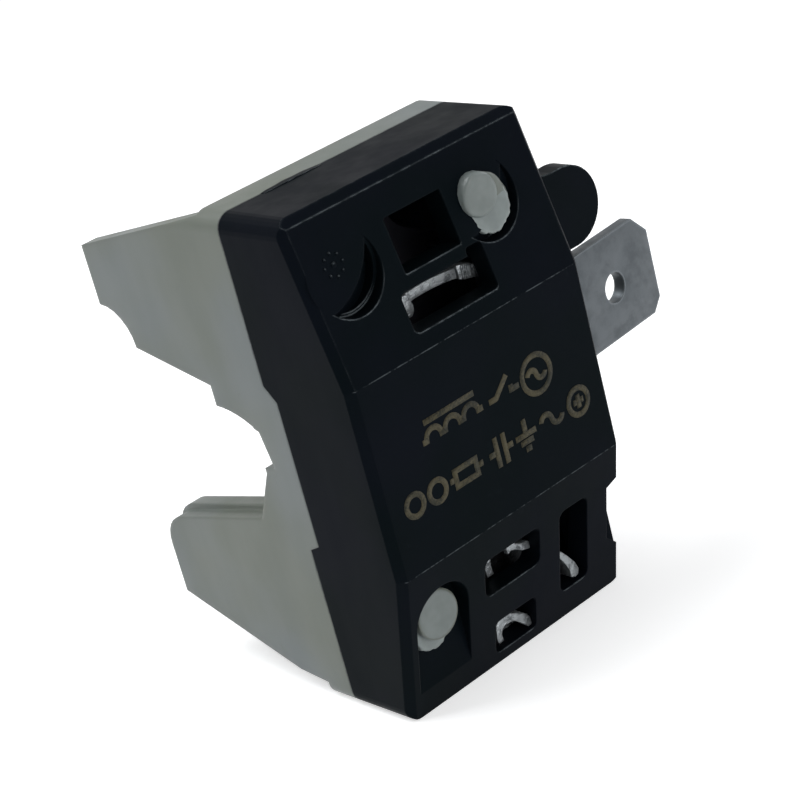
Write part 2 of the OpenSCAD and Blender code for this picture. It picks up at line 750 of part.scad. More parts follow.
// Front outline of the bar in X and Z
function bar_outline(h) =
    let (p = [bar_left, strip_z + bar_lift_left], q = [tab_left + snug, strip_z + bar_lift_right])
    concat(bow(p, q, bar_bow), bow(q + [0, h], p + [0, h], -bar_bow));
module start_strip() {
    x = mech_x - contact_x;
    top = strip_z + strip_t;
    color([0.7, 0.72, 0.73]) difference() {
        union() {
            along_y(-bar_front, -bar_back) polygon(bar_outline(strip_t));
            along_y(-bar_front, -bar_front + tab_t) polygon([[hook_left, top + bar_lift_left - strip_t / 2],
                [hook_left, top - strip_t], [hook_left + strip_t / 2, top - hook_drop],
                [hook_right - strip_t / 2, top - hook_drop], [hook_right, strip_z],
                [bar_left + strip_t, top + bar_lift_left]]);
            along_y(-bar_front, -bar_front + tab_t) polygon(concat(
                [[tab_left, top - tab_h + tab_fall / 2], [tab_left, top + bar_lift_left]],
                arc([tab_right - tab_round, top - tab_fall + bar_lift_left - tab_round], tab_round, 90, -tab_turn),
                [[tab_right - tab_h, top - tab_fall + bar_lift_left - tab_h]]));
            translate([x - strip_w / 2, -bar_front, strip_z])
                cube([strip_w, bar_front + mech_y + strip_end, strip_t]);
            translate([pin_x - clip_r, -bar_back - snug, strip_z])
                cube([x - pin_x + clip_r, bar_back - bar_foot + snug, strip_t]);
        }
        translate([x, mech_y, strip_z - cut]) cylinder(r = rivet_r, h = strip_t + 2 * cut);
        translate([pin_x, rivet_y, strip_z - cut]) cylinder(r = rivet_r, h = strip_t + 2 * cut);
    }
}

// Split spring sleeve for a pin, with the flat tongue that carries it
module pin_clip(z, tongue_z, slit_side) {
    y0 = clip_start;
    y1 = clip_end;
    color([0.74, 0.68, 0.45]) difference() {
        union() {
            bar_y(pin_x, z, clip_r, y0, y1);
            translate([pin_x - clip_r, -bar_back, tongue_z])
                cube([2 * clip_r, y0 + bar_back + clip_t, clip_t]);
        }
        bar_y(pin_x, z, pin_r, y0 - snug, y1 + cut);
        translate([pin_x - clip_slit / 2, y0 - cut, z + slit_side * pin_r / 2 - (slit_side < 0 ? clip_r : 0)])
            cube([clip_slit, clip_len + 2 * cut, clip_r]);
        translate([pin_x, rivet_y, tongue_z - cut]) cylinder(r = rivet_r, h = clip_t + 2 * cut);
    }
}

module start_pin_clip() {
    pin_clip(pin_high, strip_z + strip_t, -1);
}

// Height of the lower clip's tongue, under the low pillar
run_tongue_z = pin_low - clip_r + slide_play;
module run_pin_clip() {
    pin_clip(pin_low, run_tongue_z, 1);
}

// Rivet that joins a strip and a clip's tongue
module strap_rivet(z0, h) {
    color([0.74, 0.68, 0.45]) translate([pin_x, rivet_y, z0]) {
        translate([0, 0, -rivet_head]) cylinder(r = 2 * rivet_r, h = rivet_head);
        translate([0, 0, -snug]) cylinder(r = rivet_r, h = h + 2 * snug);
        translate([0, 0, h]) cylinder(r = 2 * rivet_r, h = rivet_head);
    }
}

module start_rivet() {
    strap_rivet(strip_z, strip_t + clip_t);
}

module run_rivet() {
    strap_rivet(run_tongue_z - strip_t, strip_t + clip_t);
}

// Run strap: an upright plate behind the lower windows, with bent loops in X and Z in front of it
strap_y = -3;
strap_left = -3.3;
strap_right = 6.2;
strap_high = 7.9;
strap_corner = 0.5;
strap_tail = [-0.9, 1.1, 1.5];
loop_mid_y = -4.55;
loop_mid = [[-0.9, 5.1], [-0.95, 5.8], [-0.75, 6.6], [-0.2, 7.1], [0.6, 7.15], [1.15, 6.7], [1.55, 6.25], [2.28, 5.92],
    [2.78, 5.68], [3.1, 5.4], [2.93, 5.12], [2.1, 5.3], [1.5, 5.7], [1, 6.2], [0.5, 6.55], [0, 6.55], [-0.35, 6.2],
    [-0.45, 5.7], [-0.4, 5.1]];
loop_foot_y = -4.5;
loop_foot = [[-1.25, 0.9], [-1.32, 1.5], [-1.15, 1.95], [-0.8, 2.18], [-0.3, 2.22], [0.3, 2.12], [0.8, 1.9], [1.3, 1.5],
    [1.3, 1.1], [0.75, 1.4], [0.3, 1.6], [-0.1, 1.7], [-0.5, 1.72], [-0.75, 1.6], [-0.88, 1.35], [-0.85, 0.9]];
loop_side_y = -5;
loop_side = [[4, 4.35], [4.4, 4.1], [4.85, 3.55], [5.3, 2.9], [5.47, 2.4], [5.35, 2.1], [5.1, 2.02], [4.8, 2.15],
    [4.78, 2.6], [4.55, 3.2], [4.27, 3.65], [4, 3.85]];
module run_strap() {
    z0 = run_tongue_z - strip_t;
    color([0.7, 0.72, 0.73]) difference() {
        union() {
            along_y(strap_y, strap_y + strip_t)
                polygon(round_rect(strap_left, strap_right, z0, strap_high, strap_corner));
            translate([strap_tail[0], strap_y, strap_tail[2]])
                cube([strap_tail[1] - strap_tail[0], strip_t, z0 - strap_tail[2] + strip_t]);
            translate([pin_x - clip_r, strap_y, z0])
                cube([strap_left + strip_t - pin_x + clip_r, -strap_y - bar_foot, strip_t]);
            along_y(loop_mid_y, strap_y + snug) polygon(loop_mid);
            along_y(loop_foot_y, strap_y + snug) polygon(loop_foot);
            along_y(loop_side_y, strap_y + snug) polygon(loop_side);
        }
        translate([pin_x, rivet_y, z0 - cut]) cylinder(r = rivet_r, h = strip_t + 2 * cut);
    }
}

// Place of a coil end above the upper flange, and the channel that leads it through the plate
lead_r = chamber_r + lead_side + wire_d / 2;
lead_z = flange_high + flange_t + head_gap + wire_d / 2 + 2 * slide_play;
function lead_at(a) = [mech_x + lead_r * cos(a), mech_y + lead_r * sin(a)];
module lead_channel(a) {
    half = wire_d / 2 + slide_play;
    p = lead_at(a);
    translate([p[0] - half, -cut, chamber_low - cut]) cube([2 * half, p[1] + half + cut, lead_z + half - chamber_low + cut]);
}

// Round wire that follows named points, a ball at each bend
module wire(points) {
    for (i = [0 : len(points) - 2]) {
        p = points[i];
        q = points[i + 1];
        d = q - p;
        translate(p) rotate([0, acos(d[2] / norm(d)), atan2(d[1], d[0])]) cylinder(r = wire_d / 2, h = norm(d), $fn = wire_fn);
        translate(q) sphere(r = wire_d / 2, $fn = wire_fn);
    }
}

// Coil end that runs to the back of the blade terminal
module line_lead() {
    p = lead_at(lead_angles[1]);
    y = -blade_front + blade_t + wire_d / 2 + snug;
    x = half_w - blade_foot / 2;
    color([0.62, 0.32, 0.16]) wire([[p[0], p[1], flange_high + snug], [p[0], p[1], lead_z], [p[0], y, lead_z],
        [x, y, lead_z], [x, y, blade_z - blade_w / 4]]);
}

// Coil end that runs down to the back of the run strap
module run_lead() {
    p = lead_at(lead_angles[0]);
    y = strap_y + strip_t + wire_d / 2 + snug;
    color([0.62, 0.32, 0.16]) wire([[p[0], p[1], flange_high + snug], [p[0], p[1], lead_z], [p[0], y, lead_z],
        [p[0], y, strap_high - 2 * wire_d]]);
}

front_cover();
rear_body();
coil_bobbin();
coil_winding();
coil_wrap();
guide_plate();
buffer_pad();
plunger();
push_rod();
spring_collar();
contact_spring();
contact_bridge();
bridge_contacts();
rod_clip();
line_terminal();
line_contact();
start_strip();
start_contact();
start_pin_clip();
start_rivet();
run_strap();
run_pin_clip();
run_rivet();
line_lead();
run_lead();
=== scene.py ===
"""Looks of a plug-in compressor start relay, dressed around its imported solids."""

import json
import logging
import math
from dataclasses import dataclass
from enum import Enum
from typing import Any, Optional, Sequence, Union

import bmesh
import bpy
from mathutils import Matrix, Vector


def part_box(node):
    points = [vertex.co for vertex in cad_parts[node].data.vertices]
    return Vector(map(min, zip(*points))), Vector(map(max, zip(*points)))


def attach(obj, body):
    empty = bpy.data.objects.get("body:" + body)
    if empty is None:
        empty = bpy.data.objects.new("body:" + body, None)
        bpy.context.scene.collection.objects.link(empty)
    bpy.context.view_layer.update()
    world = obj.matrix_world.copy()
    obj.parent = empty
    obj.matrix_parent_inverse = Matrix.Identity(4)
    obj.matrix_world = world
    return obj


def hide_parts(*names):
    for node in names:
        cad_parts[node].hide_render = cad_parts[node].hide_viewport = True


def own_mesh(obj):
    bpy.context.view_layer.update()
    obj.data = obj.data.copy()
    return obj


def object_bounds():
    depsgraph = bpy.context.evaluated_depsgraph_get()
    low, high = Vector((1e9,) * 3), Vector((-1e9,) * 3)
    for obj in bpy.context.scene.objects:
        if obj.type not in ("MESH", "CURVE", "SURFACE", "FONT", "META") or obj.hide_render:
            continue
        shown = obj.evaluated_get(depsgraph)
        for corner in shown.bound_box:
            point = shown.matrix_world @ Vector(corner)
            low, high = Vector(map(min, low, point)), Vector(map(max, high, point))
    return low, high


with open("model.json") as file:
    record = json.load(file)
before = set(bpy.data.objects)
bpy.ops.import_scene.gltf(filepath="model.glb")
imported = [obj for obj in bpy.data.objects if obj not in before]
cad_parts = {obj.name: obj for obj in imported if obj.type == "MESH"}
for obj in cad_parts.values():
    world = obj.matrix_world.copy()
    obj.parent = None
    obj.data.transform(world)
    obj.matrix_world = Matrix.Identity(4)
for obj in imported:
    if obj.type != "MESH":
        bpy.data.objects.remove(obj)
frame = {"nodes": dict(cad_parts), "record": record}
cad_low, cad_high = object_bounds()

MM = 0.001
log = logging.getLogger("start_relay")

Pair = tuple[float, float]
Point = tuple[float, float, float]
Levels = tuple[float, float, float, float]
Colour = tuple[float, float, float]
Outline = Sequence[Pair]
Faces = list[tuple[int, ...]]


def srgb(red: int, green: int, blue: int) -> Colour:
    """Linear colour of a display colour whose parts run from 0 to 255."""
    return tuple(
        c / 12.92 if c <= 0.04045 else ((c + 0.055) / 1.055) ** 2.4
        for c in (red / 255, green / 255, blue / 255)
    )


class Value:
    """Number on a shader socket, on which Python's operators add Math nodes."""

    def __init__(self, sheet: "Sheet", socket: Optional[bpy.types.NodeSocket]) -> None:
        """Wraps one output socket of a sheet."""
        self.sheet = sheet
        self.socket = socket

    def _math(self, operation: str, first: Any, second: Any) -> "Value":
        """Result of one Math node."""
        return self.sheet.node("ShaderNodeMath", {"operation": operation}, {0: first, 1: second})

    def __add__(self, other: Any) -> "Value":
        """Sum of two numbers."""
        return self._math("ADD", self, other)

    def __sub__(self, other: Any) -> "Value":
        """Difference of two numbers."""
        return self._math("SUBTRACT", self, other)

    def __rsub__(self, other: Any) -> "Value":
        """Difference with the number on the left."""
        return self._math("SUBTRACT", other, self)

    def __mul__(self, other: Any) -> "Value":
        """Product of two numbers."""
        return self._math("MULTIPLY", self, other)

    def clamp(self, low: float, high: float) -> "Value":
        """Steps smoothly from 0 at the low level to 1 at the high one."""
        return self.sheet.node(
            "ShaderNodeMapRange",
            {"interpolation_type": "SMOOTHSTEP"},
            {"Value": self, "From Min": low, "From Max": high},
        )


class Sheet:
    """Node sheet of one material or of the world."""

    def __init__(self, tree: bpy.types.NodeTree) -> None:
        """Empties the tree and takes it over."""
        tree.nodes.clear()
        self.tree = tree

    def node(
        self,
        kind: str,
        settings: Optional[dict[str, Any]] = None,
        inputs: Optional[dict[Union[int, str], Any]] = None,
        out: Union[int, str] = 0,
    ) -> Value:
        """Adds any node.

        Args:
            kind: The node's type.
            settings: Properties that are set first.
            inputs: Values or links of its sockets, by name or number.
            out: The output that is returned.

        Returns:
            The chosen output, or an empty value where the node has none.
        """
        made = self.tree.nodes.new(kind)
        for key, value in (settings or {}).items():
            setattr(made, key, value)
        for key, value in (inputs or {}).items():
            if isinstance(value, Value):
                self.tree.links.new(value.socket, made.inputs[key])
            elif isinstance(value, tuple) and len(value) == 3 and made.inputs[key].type == "RGBA":
                made.inputs[key].default_value = (*value, 1.0)
            else:
                made.inputs[key].default_value = value
        return Value(self, made.outputs[out] if made.outputs else None)

    def end(self, kind: str, value: Value, socket: Union[int, str] = "Surface") -> None:
        """Ends the sheet in an output node of that type."""
        self.node(kind, None, {socket: value})

    def place(self) -> Value:
        """Coordinates of the object, in metres."""
        return self.node("ShaderNodeTexCoord", out="Object")

    def noise(
        self, grain: float, detail: float = 3.0, rough: float = 0.55, stretch: Point = (1.0, 1.0, 1.0)
    ) -> Value:
        """Cloudy noise of a real size.

        Args:
            grain: Size of one cloud in millimetres.
            detail: Octaves of the noise.
            rough: Weight of the finer octaves.
            stretch: How much the pattern is compressed along X, Y and Z.

        Returns:
            The noise, from about 0.3 to 0.7.
        """
        scaled = self.node(
            "ShaderNodeVectorMath",
            {"operation": "MULTIPLY"},
            {0: self.place(), 1: tuple(s / (grain * MM) for s in stretch)},
        )
        return self.node(
            "ShaderNodeTexNoise",
            None,
            {"Vector": scaled, "Scale": 1.0, "Detail": detail, "Roughness": rough},
        )

    def mix(self, share: Any, first: Any, second: Any) -> Value:
        """Mix of two colours."""
        return self.node(
            "ShaderNodeMix", {"data_type": "RGBA"}, {0: share, 6: first, 7: second}, out=2
        )

    def soft_edges(self, radius: float) -> Value:
        """Normal that runs round the sharp edges at a radius in millimetres."""
        return self.node("ShaderNodeBevel", {"samples": 6}, {"Radius": radius * MM})

    def dot(self, first: Any, second: Any) -> Value:
        """How much two directions agree, from -1 to 1."""
        pair = {0: first, 1: second}
        return self.node("ShaderNodeVectorMath", {"operation": "DOT_PRODUCT"}, pair, out="Value")

    def flatness(self, rounded: Value) -> Value:
        """1 on flats and less where a rounded normal leaves the face's own."""
        return self.dot(rounded, self.node("ShaderNodeNewGeometry", out="True Normal"))

    def axis(self, name: str) -> Value:
        """One coordinate of the object, in millimetres."""
        return self.node("ShaderNodeSeparateXYZ", None, {0: self.place()}, out=name) * (1 / MM)

    def band(self, axis: str, ends: Levels) -> Value:
        """1 on a band that begins, is full, begins to end and is over at four levels in millimetres."""
        return self.axis(axis).clamp(*ends[:2]) * (1 - self.axis(axis).clamp(*ends[2:]))

    def lit_edge_mask(self, radius: float, low: float, high: float, toward: Point) -> Value:
        """Mask of painted highlights: 1 on sharp edges that look one way and 0 on flats.

        Args:
            radius: Reach of an edge in millimetres.
            low: Turn of the normal that still counts as flat.
            high: Turn of the normal that counts as a full edge.
            toward: Direction that an edge with a painted highlight looks to.

        Returns:
            The mask.
        """
        rounded = self.soft_edges(radius)
        turned = (1 - self.flatness(rounded)).clamp(low, high)
        return turned * self.dot(rounded, toward).clamp(0.84, 0.97)

    def line(self, axis: str, level: float, width: float) -> Value:
        """1 on the plane where a coordinate has one level, fading out over a width in millimetres."""
        apart = self.node("ShaderNodeMath", {"operation": "ABSOLUTE"}, {0: self.axis(axis) - level})
        return 1 - apart.clamp(0.0, width)

    def bump(
        self, height: Value, depth: float, strength: float, normal: Optional[Value] = None
    ) -> Value:
        """Normal of a surface with relief.

        Args:
            height: The relief, from 0 to 1.
            depth: Its depth in millimetres.
            strength: How much of it shows.
            normal: The normal below it, if not the surface's own.

        Returns:
            The new normal.
        """
        inputs = {"Strength": strength, "Distance": depth * MM, "Height": height}
        if normal is not None:
            inputs["Normal"] = normal
        return self.node("ShaderNodeBump", None, inputs)


def new_material(name: str) -> tuple[bpy.types.Material, Sheet]:
    """Makes a material.

    Args:
        name: Name of the material.

    Returns:
        The material and its empty sheet.
    """
    material = bpy.data.materials.new(name)
    material.use_nodes = True
    return material, Sheet(material.node_tree)


class Recipe:
    """Finish that fills the sockets of one shader."""

    def inputs(self, sheet: Sheet) -> dict[str, Any]:
        """Sockets of the shader, worked out on its sheet."""
        raise NotImplementedError

    def make(self, name: str) -> bpy.types.Material:
        """Builds the material.

        Args:
            name: Name of the material.

        Returns:
            The new material.
        """
        material, sheet = new_material(name)
        shader = sheet.node("ShaderNodeBsdfPrincipled", None, self.inputs(sheet))
        sheet.end("ShaderNodeOutputMaterial", shader)
        return material


@dataclass(frozen=True)
class EdgeHighlight:
    """Painted highlight on the black moulding's edges that face up and forward, and on the creases of its
    front.
    """

    colour: Colour
    creases: tuple[float, ...]
    crease_width: float = 0.05
    front: Pair = (-7.3, -7.2)
    toward: Point = (0.0, -0.78, 0.62)
    turn: Pair = (0.008, 0.06)

    def lay(self, sheet: Sheet, base: Value, reach: float) -> Value:
        """Lays the painted highlight on a colour.

        Args:
            sheet: Sheet of the material.
            base: Colour below it.
            reach: Reach of an edge in millimetres.

        Returns:
            The colour with the painted highlight.
        """
        broken = sheet.noise(0.6, 4.0, 0.7).clamp(0.4, 0.6)
        edges = sheet.lit_edge_mask(reach, *self.turn, self.toward)
        # painted highlight: pale colour on edges whose rounded normal looks along toward
        base = sheet.mix(edges * (broken * 0.7 + 0.3), base, self.colour)
        face = 1 - sheet.axis("Y").clamp(*self.front)
        # painted highlight: thin pale lines along the creases of the front
        for crease in self.creases:
            share = sheet.line("Z", crease, self.crease_width) * face * broken * 0.5
            base = sheet.mix(share, base, self.colour)
        return base


@dataclass(frozen=True)
class ShadeAndSeamLine:
    """Painted shade on the pale moulding's face behind the black one, and a broken dark line along the seam
    where the two meet.
    """

    colour: Colour
    inner_width: float = 0.3
    inner_z: Levels = (1.1, 1.5, 28.5, 28.9)
    inner_x: Levels = (-7.7, -7.3, 7.3, 7.7)
    fringe_width: float = 0.14
    step_z: Levels = (9.7, 10.0, 20.9, 21.2)

    def lay(self, sheet: Sheet, base: Value) -> Value:
        """Lays the painted shade and the seam line on a colour.

        Args:
            sheet: Sheet of the material.
            base: Colour below it.

        Returns:
            The darkened colour.
        """
        # painted shade: the nylon face at the back of the cover, seen through its windows
        inner = sheet.line("Y", 0.0, self.inner_width) * sheet.band("Z", self.inner_z)
        base = sheet.mix(inner * sheet.band("X", self.inner_x), base, self.colour)
        # broken dark line along the seam, outside the middle step
        fringe = sheet.noise(0.5, 4.0, 0.7, (1.0, 0.3, 1.0)).clamp(0.42, 0.62)
        fringe = (fringe * 0.7 + 0.1) * (1 - sheet.band("Z", self.step_z))
        return sheet.mix(sheet.line("Y", 0.0, self.fringe_width) * fringe, base, self.colour)


@dataclass(frozen=True)
class Moulding(Recipe):
    """Moulded plastic: flow clouds, a fine spark-eroded grain and soft corners, with a painted highlight on
    edges and creases and painted shade where given.
    """

    colour: Colour
    cloud: Colour
    cloud_size: float
    rub: Colour
    roughness: float
    grain: float
    grain_strength: float
    edge: float
    glow: float = 0.0
    gloss: float = 0.5
    index: float = 1.5
    sheen: Colour = (1.0, 1.0, 1.0)
    edge_highlight: Optional[EdgeHighlight] = None
    shade_and_seam_line: Optional[ShadeAndSeamLine] = None

    def inputs(self, sheet: Sheet) -> dict[str, Any]:
        """Works out the sockets.

        Args:
            sheet: Sheet of the material.

        Returns:
            The sockets and what goes into them.
        """
        clouds = sheet.noise(self.cloud_size, 2.0).clamp(0.35, 0.68)
        specks = sheet.noise(0.9, 5.0, 0.7).clamp(0.6, 0.8)
        base = sheet.mix(clouds, self.colour, self.cloud)
        base = sheet.mix(specks * 0.35, base, self.rub)
        if self.edge_highlight is not None:
            # painted highlight on edges and creases
            base = self.edge_highlight.lay(sheet, base, self.edge * 1.4)
        if self.shade_and_seam_line is not None:
            # painted shade behind the cover, and a dark seam line
            base = self.shade_and_seam_line.lay(sheet, base)
        fine = sheet.noise(self.grain, 2.0)
        sweep = sheet.noise(3.0, 3.0, 0.6, (1.0, 1.0, 0.35))
        normal = sheet.soft_edges(self.edge)
        normal = sheet.bump(sweep, 0.05, 0.12, normal)
        normal = sheet.bump(fine, 0.02, self.grain_strength, normal)
        inputs = {
            "Base Color": base,
            "Roughness": sweep.clamp(0.3, 0.7) * 0.12 + (self.roughness - 0.06),
            "IOR": self.index,
            "Specular IOR Level": self.gloss,
            "Specular Tint": (*self.sheen, 1.0),
            "Normal": normal,
        }
        if self.glow:
            inputs["Subsurface Weight"] = self.glow
            inputs["Subsurface Radius"] = (1.0, 0.9, 0.8)
            inputs["Subsurface Scale"] = 0.6 * MM
        return inputs


@dataclass(frozen=True)
class SheetMetal(Recipe):
    """Rolled or stamped metal: brushed along one way, with stains, a dull film and, where given, a painted
    highlight on its edges.
    """

    colour: Colour
    stain: Colour
    roughness: float
    brush: Point
    edge: float
    metal: float = 1.0
    scratch: float = 0.25
    # colour of a painted highlight on the edges
    rim: Optional[Colour] = None

    def inputs(self, sheet: Sheet) -> dict[str, Any]:
        """Works out the sockets.

        Args:
            sheet: Sheet of the material.

        Returns:
            The sockets and what goes into them.
        """
        brushed = sheet.noise(0.35, 3.0, 0.6, self.brush)
        stains = sheet.noise(1.6, 5.0, 0.65)
        base = sheet.mix(stains.clamp(0.42, 0.72), self.colour, self.stain)
        # painted highlight: lighter colour on every sharp edge
        if self.rim is not None:
            turn = 1 - sheet.flatness(sheet.soft_edges(0.2))
            base = sheet.mix(turn.clamp(0.004, 0.08) * 0.8, base, self.rim)
        return {
            "Base Color": base,
            "Metallic": self.metal,
            "Roughness": stains.clamp(0.3, 0.7) * 0.22 + brushed * 0.12 + (self.roughness - 0.17),
            "Normal": sheet.bump(brushed, 0.02, self.scratch, sheet.soft_edges(self.edge)),
        }


@dataclass(frozen=True)
class CrumpledTin(Recipe):
    """Bright tinned strip that was folded and crimped, with creases and dark seams, and where given painted
    shade that darkens it further back.
    """

    colour: Colour = srgb(156, 161, 164)
    seam: Colour = srgb(92, 96, 99)
    roughness: float = 0.28
    deep_shade: Optional[Colour] = None
    deep_shade_from: Pair = (-3.5, -3.05)

    def inputs(self, sheet: Sheet) -> dict[str, Any]:
        """Works out the sockets.

        Args:
            sheet: Sheet of the material.

        Returns:
            The sockets and what goes into them.
        """
        folds = sheet.noise(0.32, 3.0, 0.6, (1.0, 0.6, 1.6))
        seams = sheet.noise(0.55, 4.0, 0.7)
        base = sheet.mix(seams.clamp(0.5, 0.68), self.colour, self.seam)
        if self.deep_shade is not None:
            # painted shade: darker the further back along Y the metal lies
            base = sheet.mix(sheet.axis("Y").clamp(*self.deep_shade_from), base, self.deep_shade)
        return {
            "Base Color": base,
            "Metallic": 0.7,
            "Roughness": seams.clamp(0.3, 0.7) * 0.2 + self.roughness,
            "Normal": sheet.bump(folds, 0.12, 0.8, sheet.soft_edges(0.06)),
        }


@dataclass(frozen=True)
class Clouded(Recipe):
    """Material whose colour, roughness and relief follow one noise, with or without a clear coat."""

    colour: Colour
    cloud: Colour
    noise: tuple[float, float, float]
    stops: Pair
    roughness: Pair
    relief: float
    metal: float = 0.0
    coat: float = 0.0
    coat_roughness: float = 0.12

    def inputs(self, sheet: Sheet) -> dict[str, Any]:
        """Works out the sockets.

        Args:
            sheet: Sheet of the material.

        Returns:
            The sockets and what goes into them.
        """
        clouds = sheet.noise(*self.noise)
        base_roughness, spread = self.roughness
        return {
            "Base Color": sheet.mix(clouds.clamp(*self.stops), self.colour, self.cloud),
            "Metallic": self.metal,
            "Roughness": clouds * spread + base_roughness,
            "Coat Weight": self.coat,
            "Coat Roughness": self.coat_roughness,
            "Normal": sheet.bump(clouds, 0.03, self.relief),
        }


@dataclass(frozen=True)
class Tape(Recipe):
    """Woven coil tape, wound in laps round the coil's axis."""

    colour: Colour
    thread: Colour
    lap: float
    weave: float

    def inputs(self, sheet: Sheet) -> dict[str, Any]:
        """Works out the sockets.

        Args:
            sheet: Sheet of the material.

        Returns:
            The sockets and what goes into them.
        """
        laps = sheet.axis("Z") * (1 / self.lap)
        lap_edge = sheet.node("ShaderNodeMath", {"operation": "FRACT"}, {0: laps}).clamp(0.0, 0.14)
        threads = sheet.noise(self.weave, 1.0, 0.5, (1.0, 1.0, 3.0))
        dirt = sheet.noise(1.4, 4.0)
        base = sheet.mix(threads.clamp(0.4, 0.65), self.colour, self.thread)
        base = sheet.mix(dirt.clamp(0.5, 0.8) * 0.4, base, self.colour)
        normal = sheet.bump(threads, 0.05, 0.6, sheet.bump(lap_edge, 0.1, 0.7))
        return {"Base Color": base, "Roughness": dirt * 0.2 + 0.55, "Normal": normal}


@dataclass(frozen=True)
class Ink(Recipe):
    """Thin dull ink with pin holes through which the moulding shows."""

    colour: Colour
    thin: Colour

    def inputs(self, sheet: Sheet) -> dict[str, Any]:
        """Works out the sockets.

        Args:
            sheet: Sheet of the material.

        Returns:
            The sockets and what goes into them.
        """
        holes = sheet.noise(0.16, 4.0, 0.75)
        patches = sheet.noise(1.3, 3.0, 0.6)
        share = (holes * 0.6 + patches * 0.5).clamp(0.48, 0.66)
        return {
            "Base Color": sheet.mix(share, self.colour, self.thin),
            "Roughness": holes * 0.2 + 0.5,
            "Specular IOR Level": 0.2,
            "Normal": sheet.bump(holes, 0.02, 0.4),
        }


class Finish(Enum):
    """Finishes of the relay, each named after its material slot."""

    BLACK = "black_moulding"
    NYLON = "natural_nylon"
    BOBBIN = "bobbin_nylon"
    COPPER = "enamelled_copper"
    TAPE = "dark_tape"
    RUBBER = "black_rubber"
    STEEL = "plunger_steel"
    BRASS = "rod_brass"
    SPRING = "spring_steel"
    BRIDGE = "bridge_copper"
    SILVER = "contact_silver"
    TINNED = "tinned_brass"
    CLIP = "clip_brass"


RECIPES = {
    Finish.BLACK: Moulding(
        srgb(8, 15, 18), srgb(12, 16, 23), 9.0, srgb(24, 30, 34), 0.42, 0.22, 0.1, 0.12, index=1.095,
        # pale colour of the painted highlight on edges and creases
        sheen=(0.8, 0.9, 1.0), edge_highlight=EdgeHighlight(srgb(112, 120, 124), (20.85, 9.55))
    ),
    Finish.NYLON: Moulding(
        srgb(105, 111, 102), srgb(110, 117, 117), 11.0, srgb(94, 99, 90), 0.46, 0.5, 0.1, 0.3, 0.25,
        # dark colour of the painted shade behind the cover and of the seam line
        shade_and_seam_line=ShadeAndSeamLine(srgb(58, 58, 68))
    ),
    Finish.BOBBIN: Moulding(
        srgb(134, 136, 124), srgb(142, 146, 138), 6.0, srgb(118, 120, 108), 0.45, 0.5, 0.1, 0.12, 0.2
    ),
    Finish.COPPER: Clouded(
        srgb(168, 92, 48), srgb(104, 48, 22), (0.8, 4.0, 0.6), (0.4, 0.7), (0.18, 0.2), 0.2, 0.85, 0.6
    ),
    Finish.TAPE: Tape(srgb(40, 46, 44), srgb(66, 74, 70), 2.2, 0.12),
    Finish.RUBBER: Clouded(
        srgb(22, 22, 23), srgb(44, 44, 46), (0.5, 5.0, 0.7), (0.45, 0.75), (0.7, 0.15), 0.4
    ),
    Finish.STEEL: SheetMetal(srgb(158, 162, 166), srgb(138, 141, 143), 0.36, (1.0, 1.0, 6.0), 0.05),
    Finish.BRASS: SheetMetal(srgb(196, 164, 96), srgb(140, 108, 58), 0.34, (1.0, 1.0, 6.0), 0.04),
    Finish.SPRING: SheetMetal(srgb(176, 180, 184), srgb(130, 132, 134), 0.3, (1.0, 1.0, 1.0), 0.02),
    Finish.BRIDGE: SheetMetal(srgb(190, 118, 78), srgb(120, 66, 44), 0.38, (0.3, 4.0, 4.0), 0.04),
    Finish.SILVER: SheetMetal(srgb(206, 206, 200), srgb(150, 148, 140), 0.34, (1.0, 1.0, 1.0), 0.05),
    Finish.TINNED: SheetMetal(
        srgb(90, 95, 99), srgb(83, 88, 92), 0.5, (0.25, 4.0, 4.0), 0.06, 0.75, 0.1,
        # lighter colour of the painted highlight on the blade's edges
        srgb(124, 130, 134)
    ),
    Finish.CLIP: SheetMetal(srgb(190, 172, 112), srgb(140, 120, 66), 0.36, (4.0, 0.3, 4.0), 0.05),
}
INK = Ink(srgb(76, 71, 53), srgb(38, 39, 32))
BRIGHT_TIN = CrumpledTin()
# tin with painted shade where it lies deep behind the windows
SHADED_TIN = CrumpledTin(deep_shade=srgb(54, 56, 59))
HEAD_NYLON = Moulding(
    srgb(119, 127, 125), srgb(110, 118, 116), 1.2, srgb(104, 110, 104), 0.4, 0.3, 0.2, 0.08, 0.2
)
# painted light: the flash's nylon is a lighter copy of the head's, so the two part
LIT_FLASH_NYLON = Moulding(
    srgb(134, 143, 142), srgb(124, 132, 131), 1.1, srgb(112, 119, 115), 0.38, 0.25, 0.25, 0.06, 0.2
)


class Paintbox:
    """Makes each finish once and lays it on objects."""

    def __init__(self) -> None:
        """Starts with no material made."""
        self._made: dict[str, bpy.types.Material] = {}

    def material(self, name: str, recipe: Recipe) -> bpy.types.Material:
        """The material of a recipe, made at its first use.

        Args:
            name: Name of the material.
            recipe: What it is made by.

        Returns:
            The one material of that name.
        """
        if name not in self._made:
            self._made[name] = recipe.make(name)
        return self._made[name]

    def of_slot(self, finish: Finish) -> bpy.types.Material:
        """The material of a finish."""
        return self.material(finish.value, RECIPES[finish])

    @staticmethod
    def dress(mesh: bpy.types.Mesh, material: bpy.types.Material) -> None:
        """Lays a material on every face of a mesh."""
        mesh.materials.clear()
        mesh.materials.append(material)


